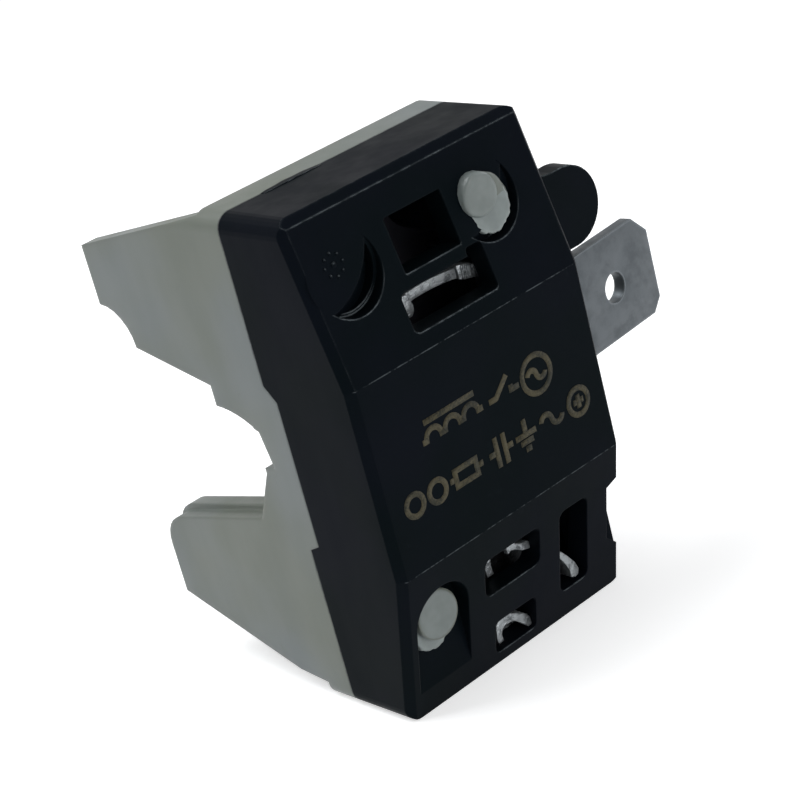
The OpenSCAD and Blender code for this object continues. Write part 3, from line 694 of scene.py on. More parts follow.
COVER_FLAT_Y = -7.35
COVER_FLAT_TOP = 20.85
COVER_SLOPE = 2.2 / 9.25
NODE_BODY = {
    node: body for body, nodes in frame["record"]["behaviour"]["bodies"].items() for node in nodes
}
FINISH_NODES = {
    Finish.BLACK: ("front_cover",),
    Finish.NYLON: ("rear_body",),
    Finish.BOBBIN: ("coil_bobbin", "guide_plate"),
    Finish.COPPER: ("coil_winding", "line_lead", "run_lead"),
    Finish.TAPE: ("coil_wrap",),
    Finish.RUBBER: ("buffer_pad",),
    Finish.STEEL: ("plunger",),
    Finish.BRASS: ("push_rod", "spring_collar", "start_rivet", "run_rivet"),
    Finish.SPRING: ("contact_spring", "rod_clip"),
    Finish.BRIDGE: ("contact_bridge",),
    Finish.SILVER: ("bridge_contacts", "line_contact", "start_contact"),
    Finish.TINNED: ("line_terminal", "start_strip", "run_strap"),
    Finish.CLIP: ("start_pin_clip", "run_pin_clip"),
}


def put_in_scene(name: str, data: bpy.types.ID) -> bpy.types.Object:
    """Puts a new object into the scene.

    Args:
        name: Name of the object.
        data: Its mesh, camera or lamp.

    Returns:
        The object.
    """
    made = bpy.data.objects.new(name, data)
    bpy.context.scene.collection.objects.link(made)
    return made


def clean_copy(node: str) -> bmesh.types.BMesh:
    """Copies a node's mesh with its loose triangles joined into flat faces.

    Args:
        node: Name of the node.

    Returns:
        The copy, open for work.
    """
    work = bmesh.new()
    work.from_mesh(frame["nodes"][node].data)
    bmesh.ops.remove_doubles(work, verts=work.verts, dist=0.002 * MM)
    bmesh.ops.dissolve_degenerate(work, edges=work.edges, dist=0.001 * MM)
    bmesh.ops.dissolve_limit(
        work, angle_limit=math.radians(0.6), verts=work.verts, edges=work.edges, delimit={"NORMAL"}
    )
    return work


def close_work(work: bmesh.types.BMesh) -> bpy.types.Mesh:
    """Turns open work into a mesh, which hand_over names.

    Args:
        work: The work, which is freed.

    Returns:
        The mesh.
    """
    mesh = bpy.data.meshes.new("work")
    work.to_mesh(mesh)
    work.free()
    return mesh


def round_off(work: bmesh.types.BMesh, sharp: float, width: float, steps: int) -> None:
    """Bevels the edges of open work that are sharper than an angle in degrees."""
    edges = [e for e in work.edges if e.is_manifold and e.calc_face_angle(0.0) > math.radians(sharp)]
    bmesh.ops.bevel(
        work, geom=edges, offset=width * MM, offset_type="OFFSET", segments=steps, profile=0.5,
        affect="EDGES", clamp_overlap=True,
    )


@dataclass
class Bench:
    """Puts finished pieces into the scene, on their bodies."""

    paint: Paintbox
    smooth_below: float = math.radians(35)

    def hand_over(
        self,
        name: str,
        mesh: bpy.types.Mesh,
        finish: Finish,
        stands_for: Sequence[str] = (),
        coat: Optional[Recipe] = None,
        body: str = "housing",
        creased: bool = True,
    ) -> bpy.types.Object:
        """Makes a mesh a piece of the object.

        Args:
            name: Name of the piece.
            mesh: Its mesh, placed where the piece stands.
            finish: The finish whose material slot it belongs to.
            stands_for: The nodes that it replaces.
            coat: A recipe of its own, where the slot's isn't used.
            body: The body that it rides on.
            creased: Whether its sharp edges stay sharp in the shading.

        Returns:
            The new object.
        """
        mesh.name = name
        piece = put_in_scene(name, mesh)
        paint = self.paint.material(name + "_coat", coat) if coat else self.paint.of_slot(finish)
        self.paint.dress(mesh, paint)
        mesh.shade_smooth()
        if creased:
            mesh.set_sharp_from_angle(angle=self.smooth_below)
        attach(piece, body)
        if stands_for:
            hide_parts(*stands_for)
        log.info("made %s: %d faces", name, len(mesh.polygons))
        return piece


class Ends(Enum):
    """How a row of rings ends."""

    OPEN = "open"
    CAPPED = "capped"
    LOOPED = "looped"


def loft(rings: int, around: int, ends: Ends) -> Faces:
    """Faces between rings of points that follow each other.

    Args:
        rings: Number of rings.
        around: Points in each ring.
        ends: Whether the first and last ring stay open, are capped or meet.

    Returns:
        The faces, as numbers of points.
    """
    faces: Faces = []
    for k in range(rings if ends is Ends.LOOPED else rings - 1):
        a, b = k * around, (k + 1) % rings * around
        faces += [(a + i, a + (i + 1) % around, b + (i + 1) % around, b + i) for i in range(around)]
    if ends is Ends.CAPPED:
        last = (rings - 1) * around
        faces += [tuple(range(around)), tuple(last + i for i in reversed(range(around)))]
    return faces


def fan(first: int, around: int, tip: int) -> Faces:
    """Faces from the ring that starts at one point to a tip, as numbers of points."""
    return [(first + i, first + (i + 1) % around, tip) for i in range(around)]


def turns_of(count: int) -> list[float]:
    """Angles that share out one turn, in radians."""
    return [2 * math.pi * i / count for i in range(count)]


def mesh_of(points: Sequence[Point], faces: Faces) -> bpy.types.Mesh:
    """Mesh of points, with its doubles merged and its faces turned outwards.

    Args:
        points: The points in millimetres.
        faces: The faces, as numbers of points.

    Returns:
        The mesh.
    """
    mesh = bpy.data.meshes.new("work")
    mesh.from_pydata([tuple(MM * v for v in p) for p in points], [], faces)
    work = bmesh.new()
    work.from_mesh(mesh)
    bmesh.ops.remove_doubles(work, verts=work.verts, dist=0.0005 * MM)
    bmesh.ops.recalc_face_normals(work, faces=work.faces)
    work.to_mesh(mesh)
    work.free()
    return mesh


def join_meshes(parts: Sequence[bpy.types.Mesh]) -> bpy.types.Mesh:
    """Joins several meshes into one and removes them.

    Args:
        parts: The meshes.

    Returns:
        The joined mesh.
    """
    work = bmesh.new()
    for part in parts:
        work.from_mesh(part)
        bpy.data.meshes.remove(part)
    return close_work(work)


def slab(outline: Outline, y0: float, y1: float, soft: float) -> bpy.types.Mesh:
    """Slab with a rounded rim, cut from an outline.

    Args:
        outline: The outline in X and Z.
        y0: Where the slab starts.
        y1: Where it ends.
        soft: Width of its rounded rim.

    Returns:
        The mesh.
    """
    work = bmesh.new()
    base = work.faces.new([work.verts.new((MM * x, MM * y0, MM * z)) for x, z in outline])
    made = bmesh.ops.extrude_face_region(work, geom=[base])
    moved = [v for v in made["geom"] if isinstance(v, bmesh.types.BMVert)]
    bmesh.ops.translate(work, verts=moved, vec=(0, MM * (y1 - y0), 0))
    bmesh.ops.recalc_face_normals(work, faces=work.faces)
    round_off(work, 40, soft, 2)
    return close_work(work)


@dataclass
class SoftenedNodes:
    """Copies of stamped nodes whose sharp edges are rounded off for real."""

    bench: Bench
    sharp: float = 32
    copies: tuple[tuple[str, str, Finish, float, int, Optional[Recipe]], ...] = (
        ("line_terminal", "line_blade", Finish.TINNED, 0.09, 3, None),
        # the run plate wears tin with painted shade deep behind the windows
        ("run_strap", "run_plate", Finish.TINNED, 0.07, 2, SHADED_TIN),
        ("contact_bridge", "bridge_blade", Finish.BRIDGE, 0.05, 2, None),
    )

    def build(self) -> None:
        """Makes each softened copy in the node's place."""
        for node, name, finish, width, steps, coat in self.copies:
            work = clean_copy(node)
            round_off(work, self.sharp, width, steps)
            self.bench.hand_over(name, close_work(work), finish, (node,), coat, NODE_BODY[node])


@dataclass(frozen=True)
class Pad:
    """Round pad of melted nylon, with an uneven outline, a soft rim and a slightly sunk face."""

    x: float
    z: float
    radius: float
    floor: float
    rise: float
    ragged: float
    seed: int
    lean: float = 0.0
    foot: float = 0.02
    facets: int = 96
    rim: Outline = ((0.16, 0.0), (0.06, 0.05), (0.01, 0.14), (0.0, 0.3), (0.02, 0.7))
    sunk: float = 0.03
    waves: Outline = ((3, 0.5), (7, 0.3), (17, 0.2), (29, 0.16))
    phases: tuple[float, ...] = (1.0, 2.3, 1.7, 0.9)

    def mesh(self) -> bpy.types.Mesh:
        """Shapes the pad.

        Returns:
            Its mesh.
        """
        y0, y1 = self.floor + self.foot, self.floor - self.rise
        points: list[Point] = []
        for depth, inset in [(y0, 0.0)] + [(y1 + d, inset) for d, inset in self.rim]:
            for a in turns_of(self.facets):
                sway = sum(
                    share * math.sin(count * a + phase * self.seed)
                    for (count, share), phase in zip(self.waves, self.phases)
                )
                r = self.radius + self.ragged * sway * (1 if inset < 0.2 else 0.3) - inset
                tip = 0.0 if depth == y0 else self.lean * r * math.sin(a)
                points.append((self.x + r * math.cos(a), depth + tip, self.z + r * math.sin(a)))
        top, under = len(points), len(points) + 1
        points += [(self.x, y1 + self.sunk, self.z), (self.x, y0, self.z)]
        faces = loft(len(self.rim) + 1, self.facets, Ends.OPEN)
        faces += fan(top - self.facets, self.facets, top) + fan(0, self.facets, under)
        return mesh_of(points, faces)


@dataclass
class MeltedPosts:
    """Heads of the melted posts, with the ragged flash that the staking tool pressed out."""

    bench: Bench
    pads: tuple[tuple[str, Moulding, Pad], ...] = (
        ("melted_head_high", HEAD_NYLON, Pad(3.76, 26.72, 1.25, -5.55, 0.86, 0.03, 3)),
        # flash in the lighter, painted-lit copy of the head's nylon
        ("melted_head_high_flash", LIT_FLASH_NYLON, Pad(4.3, 25.92, 1.54, -5.55, 0.62, 0.1, 8, 0.238)),
        ("melted_head_low", HEAD_NYLON, Pad(-6.2, 6.1, 1.46, -5.15, 1.13, 0.03, 8)),
        ("melted_head_low_flash", LIT_FLASH_NYLON, Pad(-6.5, 5.5, 1.5, -5.15, 0.66, 0.1, 13)),
    )

    def build(self) -> None:
        """Makes each head with its flash."""
        for name, coat, pad in self.pads:
            self.bench.hand_over(name, pad.mesh(), Finish.NYLON, coat=coat)


@dataclass
class Marking:
    """Two rows of generic circuit symbols printed on the flat of the cover."""

    bench: Bench
    rows: Pair = (16.2, 13.3)
    ink: float = 0.012
    layer: float = 0.0006
    sunk: float = 0.004
    stroke: float = 0.34
    sharpest: float = 0.4

    @staticmethod
    def _arc(x: float, z: float, r: float, start: float, end: float, steps: int) -> list[Pair]:
        """Points of an arc round a centre, between two angles in degrees."""
        angles = [math.radians(start + (end - start) * i / steps) for i in range(steps + 1)]
        return [(x + r * math.cos(a), z + r * math.sin(a)) for a in angles]

    def symbols(self) -> list[list[Pair]]:
        """Strokes of both rows, as points in X and Z.

        Returns:
            The strokes.
        """
        arc = self._arc
        coil = [(-5.05, 0.0)]
        for x in (-4.2, -2.8, -1.4):
            coil += arc(x, 0.0, 0.56, 180, 0, 14)
        coil.append((-0.5, 0.0))
        high = [
            coil,
            [(-4.7, 1.05), (-0.9, 1.05)],
            [(0.0, 0.0), (0.55, 0.0), (1.6, 0.95)],
            [(1.75, 0.3), (1.75, 0.0), (2.35, 0.0)],
            arc(3.75, 0.0, 1.1, 0, 360, 40),
            arc(3.4, -0.02, 0.35, 165, 10, 10) + arc(4.1, 0.02, 0.35, 190, 345, 10),
        ]
        low = [
            arc(-6.6, 0.0, 0.62, 0, 360, 28),
            arc(-4.9, 0.0, 0.62, 0, 360, 28),
            [(-3.95, 0.0), (-3.68, 0.0)],
            [(-2.7, 0.45), (-1.9, 0.45), (-1.9, -0.45), (-3.5, -0.45), (-3.5, 0.45), (-2.7, 0.45)],
            [(-1.72, 0.0), (-1.4, 0.0)],
            [(-0.9, 0.0), (-0.45, 0.0)],
            [(-0.28, 0.9), (-0.28, -0.9)],
            [(0.35, 0.9), (0.35, -0.9)],
            [(0.52, 0.0), (0.95, 0.0)],
            [(2.0, 0.92), (2.0, 0.1)],
            [(1.2, 0.0), (2.8, 0.0)],
            [(1.5, -0.42), (2.5, -0.42)],
            [(1.78, -0.84), (2.22, -0.84)],
            arc(3.68, -0.03, 0.42, 170, 10, 12) + arc(4.52, 0.03, 0.42, 190, 350, 12),
            arc(6.3, 0.0, 0.78, 0, 360, 32),
            [(6.3, 0.4), (6.3, -0.4)],
            [(5.9, 0.0), (6.13, 0.0)],
            [(6.47, 0.0), (6.7, 0.0)],
        ]
        return [
            [(x, level + z) for x, z in stroke]
            for level, row in zip(self.rows, (high, low)) for stroke in row
        ]

    def _ribbon(self, path: list[Pair], lift: float) -> bpy.types.Mesh:
        """Flat band along a path.

        Args:
            path: The path in X and Z.
            lift: Its height over the face.

        Returns:
            The mesh.
        """
        closed = math.dist(path[0], path[-1]) < 1e-6
        path = path[:-1] if closed else path
        count = len(path)
        points: list[Point] = []
        for i, (x, z) in enumerate(path):
            before = path[i - 1] if i or closed else None
            after = path[(i + 1) % count] if i < count - 1 or closed else None
            into = Vector((x - before[0], z - before[1])).normalized() if before else None
            out = Vector((after[0] - x, after[1] - z)).normalized() if after else None
            into, out = into or out, out or into
            along = (into + out).normalized()
            side = Vector((-along.y, along.x))
            reach = self.stroke / 2 / max(self.sharpest, side.dot(Vector((-into.y, into.x))))
            for sign, depth in ((1, lift), (1, -self.sunk), (-1, -self.sunk), (-1, lift)):
                edge = Vector((x, z)) + sign * reach * side
                points.append((edge.x, COVER_FLAT_Y - depth, edge.y))
        return mesh_of(points, loft(count, 4, Ends.LOOPED if closed else Ends.CAPPED))

    def build(self) -> None:
        """Prints both rows."""
        bands = [
            self._ribbon(path, self.ink + self.layer * i) for i, path in enumerate(self.symbols())
        ]
        self.bench.hand_over(
            "cover_marking", join_meshes(bands), Finish.BLACK, coat=INK, creased=False
        )


@dataclass
class RecessSlopes:
    """Sloping floors of the two upper recesses, level with the face on their upper left half."""

    bench: Bench
    pockets: tuple[tuple[str, float, float, float, float], ...] = (
        ("pocket_floor_left", -6.0, 26.3, 1.4, 0.0),
        ("pocket_floor_right", 4.2, 26.3, 1.15, 1.2),
    )
    radius: float = 2.28
    overlap: float = 0.3
    tilt: Pair = (0.66, -0.75)
    flare: float = 6.0
    sill: tuple[float, float, float] = (-2.53, 3.25, 4.9)
    run: float = 1.47
    curve: float = 0.62
    skin: float = 0.006
    around: int = 144
    across: int = 60

    @staticmethod
    def face(z: float) -> float:
        """Depth of the cover's upper sloped face at a height."""
        return COVER_FLAT_Y + (z - COVER_FLAT_TOP) * COVER_SLOPE

    def build(self) -> None:
        """Lays each floor into its recess."""
        sill_x, sill_z, sill_radius = self.sill
        for name, x, z, depth, core in self.pockets:
            points: list[Point] = []
            for k in range(self.across + 1):
                skin = self.skin * min(1.0, 2.0 * (self.across - k) / self.across + 0.1)
                for a in turns_of(self.around):
                    down = math.cos(a) * self.tilt[0] + math.sin(a) * self.tilt[1]
                    edge = self.radius + self.overlap * min(1.0, max(0.0, -down * self.flare))
                    r = core + (edge - core) * k / self.across
                    dx, dz = r * math.cos(a), r * math.sin(a)
                    past = max(0.0, math.hypot(dx - sill_x, dz - sill_z) - sill_radius)
                    sunk = (past / self.run) ** self.curve * depth
                    points.append((x + dx, self.face(z + dz) - skin + sunk, z + dz))
            mesh = mesh_of(points, loft(self.across + 1, self.around, Ends.OPEN))
            if sum(f.normal.y for f in mesh.polygons) > 0:
                mesh.flip_normals()
            self.bench.hand_over(name, mesh, Finish.BLACK)


@dataclass
class PartingSliver:
    """Thin black flash that stands over the body's rim at the top of the parting line."""

    bench: Bench
    left: float = -5.6
    right: float = -1.4
    top: float = 30.1
    root: float = -0.25
    sunk: float = 0.02
    skin: float = 0.004
    reach: tuple[float, float, float] = (0.02, 0.2, 0.03)
    waves: float = 19.0
    crown: Pair = (0.03, 0.05)
    steps: int = 40

    def build(self) -> None:
        """Makes the flash as a lens-shaped leaf."""
        points: list[Point] = []
        for i in range(self.steps + 1):
            share = i / self.steps
            x = self.left + (self.right - self.left) * share
            swell = math.sin(math.pi * share) ** 0.6
            least, most, wavy = self.reach
            reach = least + (most + wavy * math.sin(self.waves * share)) * swell
            low, high = self.top - self.sunk, self.top + self.skin
            points += [(x, self.root, low), (x, reach, low), (x, reach, high + self.crown[0] * swell),
                       (x, self.root, high + self.crown[1] * swell)]
        mesh = mesh_of(points, loft(self.steps + 1, 4, Ends.CAPPED))
        self.bench.hand_over("parting_sliver", mesh, Finish.BLACK)


@dataclass
class CavityMark:
    """Small raised ring of dots that marks the mould cavity, beside the left recess's floor."""

    bench: Bench
    x: float = -6.55
    z: float = 27.0
    ring: float = 0.62
    dots: int = 8
    dot: float = 0.11
    middle: float = 0.19
    dome: Outline = ((1.0, 0.02), (0.94, -0.03), (0.6, -0.055))
    crown: float = -0.06
    facets: int = 16

    def build(self) -> None:
        """Makes the dots as low domes."""
        places = [(self.ring * math.cos(a), self.ring * math.sin(a), self.dot) for a in turns_of(self.dots)]
        parts = []
        for dx, dz, size in places + [(0.0, 0.0, self.middle)]:
            x, z = self.x + dx, self.z + dz
            y = RecessSlopes.face(z)
            points = [
                (x + size * share * math.cos(a), y + depth, z + size * share * math.sin(a))
                for share, depth in self.dome for a in turns_of(self.facets)
            ]
            points.append((x, y + self.crown, z))
            faces = loft(len(self.dome), self.facets, Ends.OPEN)
            faces += fan((len(self.dome) - 1) * self.facets, self.facets, len(points) - 1)
            faces.append(tuple(reversed(range(self.facets))))
            parts.append(mesh_of(points, faces))
        self.bench.hand_over("cavity_mark", join_meshes(parts), Finish.BLACK)


@dataclass
class StartStrip:
    """Bent strip behind the upper windows: bowed bar, curled left end, crimped tab, arm and tongue."""

    bench: Bench
    thick: float = 0.6
    front: float = -5.1
    back: float = -3.0
    below_top: float = 0.82
    bar_ends: Pair = (-2.2, 1.8)
    bar_lift: float = 0.24
    bar_fall: float = 0.12
    bar_bow: float = 0.14
    bar_steps: int = 12
    bar_soft: float = 0.05
    hook: Outline = (
        (-2.62, 0.55), (-2.66, 0.2), (-2.5, -0.25), (-2.15, -0.5), (-1.85, -0.52), (-1.62, -0.28),
        (-1.6, 0.1), (-1.75, 0.5), (-1.9, 0.84), (-2.3, 0.86),
    )
    hook_span: Pair = (-0.08, 1.0)
    hook_soft: float = 0.1
    tab: Outline = (
        (1.92, -0.02), (1.9, 0.84), (2.5, 0.72), (3.2, 0.48), (3.72, 0.24), (3.86, -0.02),
        (3.66, -0.24), (3.1, -0.34), (2.4, -0.2),
    )
    tab_span: Pair = (-0.04, 1.1)
    tab_soft: float = 0.09
    rib: Outline = ((0.0, -0.78), (0.12, -0.8), (0.16, -0.05), (0.04, -0.02))
    ribs: int = 6
    rib_start: Pair = (2.12, 0.734)
    rib_step: Pair = (0.27, -0.081)
    rib_span: Pair = (-0.13, 0.2)
    rib_soft: float = 0.03
    arm: float = 2.2
    arm_depth: float = 1.2
    arm_soft: float = 0.06
    tongue_lap: float = 0.02
    tongue_end: float = -1.0

    def _bar(self) -> list[Pair]:
        """Outline of the bowed bar, from the strip's level.

        Returns:
            The outline in X and Z.
        """
        left, right = self.bar_ends
        under = []
        for i in range(self.bar_steps + 1):
            s = i / self.bar_steps
            rise = self.bar_lift - self.bar_fall * s + self.bar_bow * 4 * s * (1 - s)
            under.append((left + (right - left) * s, rise))
        return under + [(x, z + self.thick) for x, z in reversed(under)]

    def build(self) -> None:
        """Makes the strip in the place of its node."""
        low, high = (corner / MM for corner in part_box("start_strip"))
        arm_x = sum(corner.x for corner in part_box("start_contact")) / 2 / MM
        level = high.z - self.below_top
        arm, tongue = (
            [(a, 0.0), (b, 0.0), (b, self.thick), (a, self.thick)]
            for a, b in ((arm_x - self.arm / 2, arm_x + self.arm / 2), (low.x, arm_x))
        )
        hook, tab, ribs = (
            [self.front + reach for reach in span]
            for span in (self.hook_span, self.tab_span, self.rib_span)
        )
        cuts = [
            (self._bar(), self.front, self.back, self.bar_soft),
            (self.hook, *hook, self.hook_soft),
            (self.tab, *tab, self.tab_soft),
            (arm, self.back - self.arm_depth, high.y, self.arm_soft),
            (tongue, self.back - self.tongue_lap, self.tongue_end, self.arm_soft),
        ]
        for i in range(self.ribs):
            x, z = (start + step * i for start, step in zip(self.rib_start, self.rib_step))
            rib = [(x + dx, z + dz) for dx, dz in self.rib]
            cuts.append((rib, *ribs, self.rib_soft))
        parts = [
            slab([(x, level + z) for x, z in outline], y0, y1, soft) for outline, y0, y1, soft in cuts
        ]
        self.bench.hand_over(
            "start_bar", join_meshes(parts), Finish.TINNED, ("start_strip",), BRIGHT_TIN
        )


@dataclass
class StrapCurls:
    """Rolled lips and inner faces of the run strap's loops, as they show in the lower windows."""

    bench: Bench
    lips: tuple[tuple[float, float, float, Outline], ...] = (
        (-5.6, -5.2, 0.09, (
            (0.06, 6.71), (0.45, 6.91), (1.14, 6.49), (1.79, 6.36), (1.83, 6.19), (1.83, 5.91),
            (1.81, 5.81), (1.25, 5.96), (0.74, 6.27), (0.39, 6.4), (0.13, 6.26),
        )),
        (-3.4, -3.2, 0.05, (
            (-0.75, 0.76), (-0.6, 1.5), (0.24, 1.62), (1.1, 1.3), (1.36, 0.76),
        )),
        (-4.62, -4.3, 0.08, (
            (-1.25, 2.09), (-0.91, 2.45), (-0.16, 2.37), (0.94, 1.79), (1.38, 1.33), (1.38, 0.79),
            (1.07, 0.78), (0.52, 1.36), (-0.09, 1.88), (-0.73, 1.97), (-1.15, 1.36), (-1.4, 1.28),
        )),
    )

    def build(self) -> None:
        """Makes the lips."""
        parts = [slab(outline, y0, y1, soft) for y0, y1, soft, outline in self.lips]
        # the lips wear tin with painted shade deep behind the windows
        self.bench.hand_over("strap_curls", join_meshes(parts), Finish.TINNED, coat=SHADED_TIN)


@dataclass
class ContactSpring:
    """Fine round wire wound between the collar and the bridge, with closed ends."""

    bench: Bench
    radius: float = 1.2
    wire: float = 0.28
    turns: float = 3.5
    length: float = 2.4
    closed_share: float = 0.16
    gap: float = 0.04
    squeezed: float = 1.6
    steps: int = 40
    sides: int = 14

    def build(self) -> None:
        """Winds the spring in the place of its node."""
        low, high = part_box("contact_spring")
        middle = (low + high) / 2 / MM
        foot = low.z / MM
        rise = self.length - self.wire - self.gap
        count = int(self.turns * self.steps)
        half = self.wire / 2
        points: list[Point] = []
        for i in range(count + 1):
            share = (i / count - self.closed_share) / (1 - 2 * self.closed_share)
            level = foot + half + rise * min(1.0, max(0.0, share))
            turn = 2 * math.pi * i / self.steps
            for b in turns_of(self.sides):
                r = self.radius + half * math.cos(b)
                points.append((middle.x + r * math.cos(turn), middle.y + r * math.sin(turn),
                               level + half * math.sin(b)))
        mesh = mesh_of(points, loft(count + 1, self.sides, Ends.CAPPED))
        spring = self.bench.hand_over(
            "spring_wire", mesh, Finish.SPRING, ("contact_spring",), body="armature"
        )
        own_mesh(spring)


class WorkTree:
    """Geometry Nodes tree with named inputs, run once into a plain mesh."""

    def __init__(self, name: str) -> None:
        """Starts a tree with one geometry output."""
        self.tree = bpy.data.node_groups.new(name, "GeometryNodeTree")
        self.tree.interface.new_socket("Geometry", in_out="OUTPUT", socket_type="NodeSocketGeometry")
        self.sheet = Sheet(self.tree)
        self._given: dict[str, Any] = {}

    def size(self, name: str, value: Union[float, int]) -> Value:
        """Adds a named input.

        Args:
            name: Name of the input.
            value: What it is set to.

        Returns:
            Its value in the tree.
        """
        kind = "NodeSocketInt" if isinstance(value, int) else "NodeSocketFloat"
        socket = self.tree.interface.new_socket(name, in_out="INPUT", socket_type=kind)
        self._given[socket.identifier] = value
        return self.sheet.node("NodeGroupInput", out=name)

    def run(self, shape: Value, material: bpy.types.Material) -> bpy.types.Mesh:
        """Realises the shape, gives it its material and returns it as a mesh.

        Args:
            shape: The geometry that the tree has made.
            material: The material to set.

        Returns:
            The plain mesh, which hand_over names.
        """
        real = self.sheet.node("GeometryNodeRealizeInstances", None, {0: shape})
        inputs = {"Geometry": real, "Material": material}
        self.sheet.end("NodeGroupOutput", self.sheet.node("GeometryNodeSetMaterial", None, inputs), 0)
        holder = put_in_scene("holder", bpy.data.meshes.new("holder"))
        modifier = holder.modifiers.new("work", "NODES")
        modifier.node_group = self.tree
        for identifier, value in self._given.items():
            modifier[identifier] = value
        graph = bpy.context.evaluated_depsgraph_get()
        mesh = bpy.data.meshes.new_from_object(holder.evaluated_get(graph), depsgraph=graph)
        spare = holder.data
        bpy.data.objects.remove(holder)
        bpy.data.meshes.remove(spare)
        return mesh


@dataclass
class CoilWinding:
    """Two layers of heavy enamelled wire on the bobbin, wound by a spiral tree."""

    bench: Bench
    wire: float = 1.0
    turns: int = 6
    layers: int = 2
    layer_share: float = 0.9
    wire_share: float = 0.49
    end_share: float = 0.53
    resolution: int = 64
    sides: int = 14

    def build(self) -> None:
        """Winds the coil in the place of its node."""
        low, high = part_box("coil_winding")
        middle = (low + high) / 2
        work = WorkTree("coil_winding_work")
        turns = work.size("Turns", self.turns)
        height = work.size("Height", (high.z - low.z) - 2 * self.end_share * self.wire * MM)
        step = work.size("Wire", self.wire * MM)
        outer = work.size("Outer radius", (high.x - low.x) / 2 - self.wire / 2 * MM)
        profile = work.sheet.node(
            "GeometryNodeCurvePrimitiveCircle", {"mode": "RADIUS"},
            {"Resolution": self.sides, "Radius": step * self.wire_share}, out="Curve",
        )
        joined = work.sheet.node("GeometryNodeJoinGeometry")
        for layer in range(self.layers):
            radius = outer - step * (self.layer_share * layer)
            spiral = work.sheet.node(
                "GeometryNodeCurveSpiral", None,
                {"Resolution": self.resolution, "Rotations": turns, "Start Radius": radius,
                 "End Radius": radius, "Height": height, "Reverse": bool(layer % 2)},
                out="Curve",
            )
            wound = work.sheet.node(
                "GeometryNodeCurveToMesh", None,
                {"Curve": spiral, "Profile Curve": profile, "Fill Caps": True}, out="Mesh",
            )
            work.tree.links.new(wound.socket, joined.socket.node.inputs[0])
        mesh = work.run(joined, self.bench.paint.of_slot(Finish.COPPER))
        foot = low.z + self.end_share * self.wire * MM
        mesh.transform(Matrix.Translation((middle.x, middle.y, foot)))
        self.bench.hand_over("coil_wire", mesh, Finish.COPPER, ("coil_winding",), creased=False)


@dataclass
class CoilTape:
    """Cloth tape in overlapping laps round the coil, with frayed edges."""

    bench: Bench
    laps: int = 3
    thick: float = 0.19
    lap_shape: tuple[tuple[float, float, bool], ...] = (
        (0.075, 0.0, False), (0.03, 0.06, False), (0.005, -0.1, True), (0.03, -0.02, True),
        (0.08, 0.0, True),
    )
    fray: float = 0.02
    facets: int = 120

    def build(self) -> None:
        """Wraps the coil in the place of its node."""
        low, high = (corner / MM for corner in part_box("coil_wrap"))
        middle = (low + high) / 2
        outer = (high.x - low.x) / 2
        lap = (high.z - low.z) / self.laps
        profile = [(outer - self.thick, low.z)]
        for i in range(self.laps):
            profile += [
                (outer - inset, low.z + (i + at_top) * lap + rise)
                for inset, rise, at_top in self.lap_shape
            ]
        profile.append((outer - self.thick, high.z))
        last = len(profile) - 1
        points: list[Point] = []
        for a in turns_of(self.facets):
            ripple = 0.006 * math.sin(5 * a) + 0.005 * math.sin(13 * a + 1)
            for j, (r, z) in enumerate(profile):
                reach = r if j in (0, last) else min(r + ripple, outer)
                fray = self.fray * math.sin(31 * a + j) if 0 < j < last - 1 else 0.0
                points.append((middle.x + reach * math.cos(a), middle.y + reach * math.sin(a),
                               min(max(z + fray, low.z), high.z)))
        mesh = mesh_of(points, loft(self.facets, len(profile), Ends.LOOPED))
        self.bench.hand_over("coil_tape", mesh, Finish.TAPE, ("coil_wrap",))


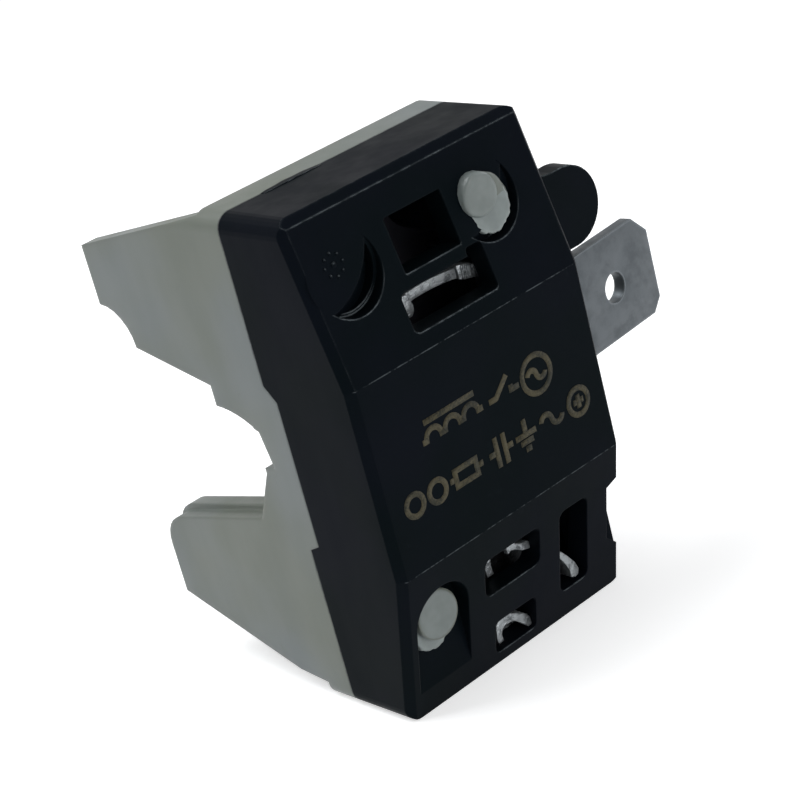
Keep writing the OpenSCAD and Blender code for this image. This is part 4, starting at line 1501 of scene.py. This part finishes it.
@dataclass
class Studio:
    """Camera at the photograph's place, plain lamps, pale floor and white backdrop."""

    eye: Point = (-71.660, -94.598, 64.255)
    turn: Point = (1.7711331453, -0.8640291594, 0.2528516242)
    lens: float = 102.09
    sensor: float = 36.0
    clip: Pair = (0.005, 20.0)
    floor_side: float = 3.0
    floor_colour: Colour = (0.86, 0.86, 0.86)
    floor_lift: float = 0.55
    floor_fade: Pair = (0.05, 0.3)
    backdrop_side: Pair = (-0.1, 0.6)
    backdrop_mirror: float = 0.7
    aim: Point = (0.0, 0.0, 15.0)
    lamps: tuple[tuple[str, Point, float, float, Colour], ...] = (
        ("key", (-160.0, 160.0, 440.0), 300.0, 1.56, (0.98, 1.0, 1.02)),
        ("left", (-430.0, 20.0, 60.0), 260.0, 0.14, (0.9, 0.95, 1.0)),
        ("front", (60.0, -420.0, 150.0), 240.0, 0.6, (1.0, 1.0, 1.0)),
        ("right", (420.0, -60.0, 160.0), 220.0, 0.5, (0.92, 0.95, 1.0)),
    )
    ambient: float = 0.27

    def set_camera(self) -> None:
        """Makes the camera and gives it to the scene."""
        data = bpy.data.cameras.new("photo_camera")
        data.lens = self.lens
        data.sensor_width = self.sensor
        data.clip_start, data.clip_end = self.clip
        camera = put_in_scene("photo_camera", data)
        spin = Vector(self.turn)
        world_to_camera = Matrix.Rotation(spin.length, 3, spin.normalized())
        facing = world_to_camera.transposed() @ Matrix.Diagonal((1.0, -1.0, -1.0))
        camera.matrix_world = Matrix.Translation(Vector(self.eye) * MM) @ facing.to_4x4()
        bpy.context.scene.camera = camera

    def hang_lamps(self) -> None:
        """Hangs the soft boxes."""
        for name, place, side, power, colour in self.lamps:
            data = bpy.data.lights.new(name + "_lamp", "AREA")
            data.shape = "SQUARE"
            data.size = side * MM
            data.energy = power
            data.color = colour
            lamp = put_in_scene(name + "_lamp", data)
            away = Vector(place) - Vector(self.aim)
            lamp.location = Vector(place) * MM
            lamp.rotation_mode = "QUATERNION"
            lamp.rotation_quaternion = away.to_track_quat("Z", "Y")

    @staticmethod
    def _seen_directly(sheet: Sheet) -> Value:
        """1 for camera, glossy and transmission rays."""
        rays = [
            sheet.node("ShaderNodeLightPath", out=name)
            for name in ("Is Camera Ray", "Is Glossy Ray", "Is Transmission Ray")
        ]
        return (rays[0] + rays[1] + rays[2]).clamp(0.0, 1.0)

    def paint_world(self) -> None:
        """Soft grey room light, with a white backdrop where it is looked at."""
        world = bpy.data.worlds.new("room")
        world.use_nodes = True
        bpy.context.scene.world = world
        sheet = Sheet(world.node_tree)
        seen = self._seen_directly(sheet)
        camera = sheet.node("ShaderNodeLightPath", out="Is Camera Ray")
        toward = sheet.node(
            "ShaderNodeSeparateXYZ", None, {0: sheet.node("ShaderNodeTexCoord", out="Generated")},
            out="Y",
        )
        shown = (seen * toward.clamp(*self.backdrop_side) * self.backdrop_mirror + camera).clamp(0.0, 1.0)
        colour = sheet.mix(shown, (self.ambient,) * 3, (1.0, 1.0, 1.0))
        sheet.end(
            "ShaderNodeOutputWorld", sheet.node("ShaderNodeBackground", None, {"Color": colour})
        )

    def lay_floor(self, height: float) -> None:
        """Lays the pale floor.

        Args:
            height: Level of the floor, in metres.
        """
        half = self.floor_side / 2
        mesh = bpy.data.meshes.new("floor")
        corners = [(x * half, y * half, height) for x, y in ((-1, -1), (1, -1), (1, 1), (-1, 1))]
        mesh.from_pydata(corners, [], [(0, 1, 2, 3)])
        floor = put_in_scene("floor", mesh)
        material, sheet = new_material("pale_floor")
        diffuse = sheet.node("ShaderNodeBsdfDiffuse", None, {"Color": self.floor_colour})
        seen = self._seen_directly(sheet)
        lift, white = (
            sheet.node("ShaderNodeEmission", None, {"Color": (1.0, 1.0, 1.0), "Strength": strength})
            for strength in (self.floor_lift, 1.0)
        )
        lifted = sheet.node("ShaderNodeAddShader", None, {0: diffuse, 1: lift})
        reach = sheet.node(
            "ShaderNodeVectorMath", {"operation": "LENGTH"}, {0: sheet.place()}, out="Value"
        ).clamp(*self.floor_fade)
        shown = sheet.node("ShaderNodeMixShader", None, {0: reach, 1: lifted, 2: white})
        mixed = sheet.node("ShaderNodeMixShader", None, {0: seen, 1: diffuse, 2: shown})
        sheet.end("ShaderNodeOutputMaterial", mixed)
        mesh.materials.append(material)

    def build(self, height: float) -> None:
        """Sets up the whole studio.

        Args:
            height: Level of the floor, in metres.
        """
        scene = bpy.context.scene
        scene.view_settings.view_transform = "Standard"
        self.set_camera()
        self.hang_lamps()
        self.paint_world()
        self.lay_floor(height)


def main() -> None:
    """Dresses the relay and sets the studio."""
    logging.basicConfig(level=logging.INFO, format="%(name)s: %(message)s")
    box = Paintbox()
    bench = Bench(box)
    Studio().build(cad_low.z)
    for finish, nodes in FINISH_NODES.items():
        for node in nodes:
            box.dress(frame["nodes"][node].data, box.of_slot(finish))
            log.info("dressed %s in %s", node, finish.value)
    for maker in (SoftenedNodes, StartStrip, StrapCurls, RecessSlopes, MeltedPosts, CavityMark,
                  PartingSliver, Marking, ContactSpring, CoilWinding, CoilTape):
        maker(bench).build()


if __name__ == "__main__":
    main()
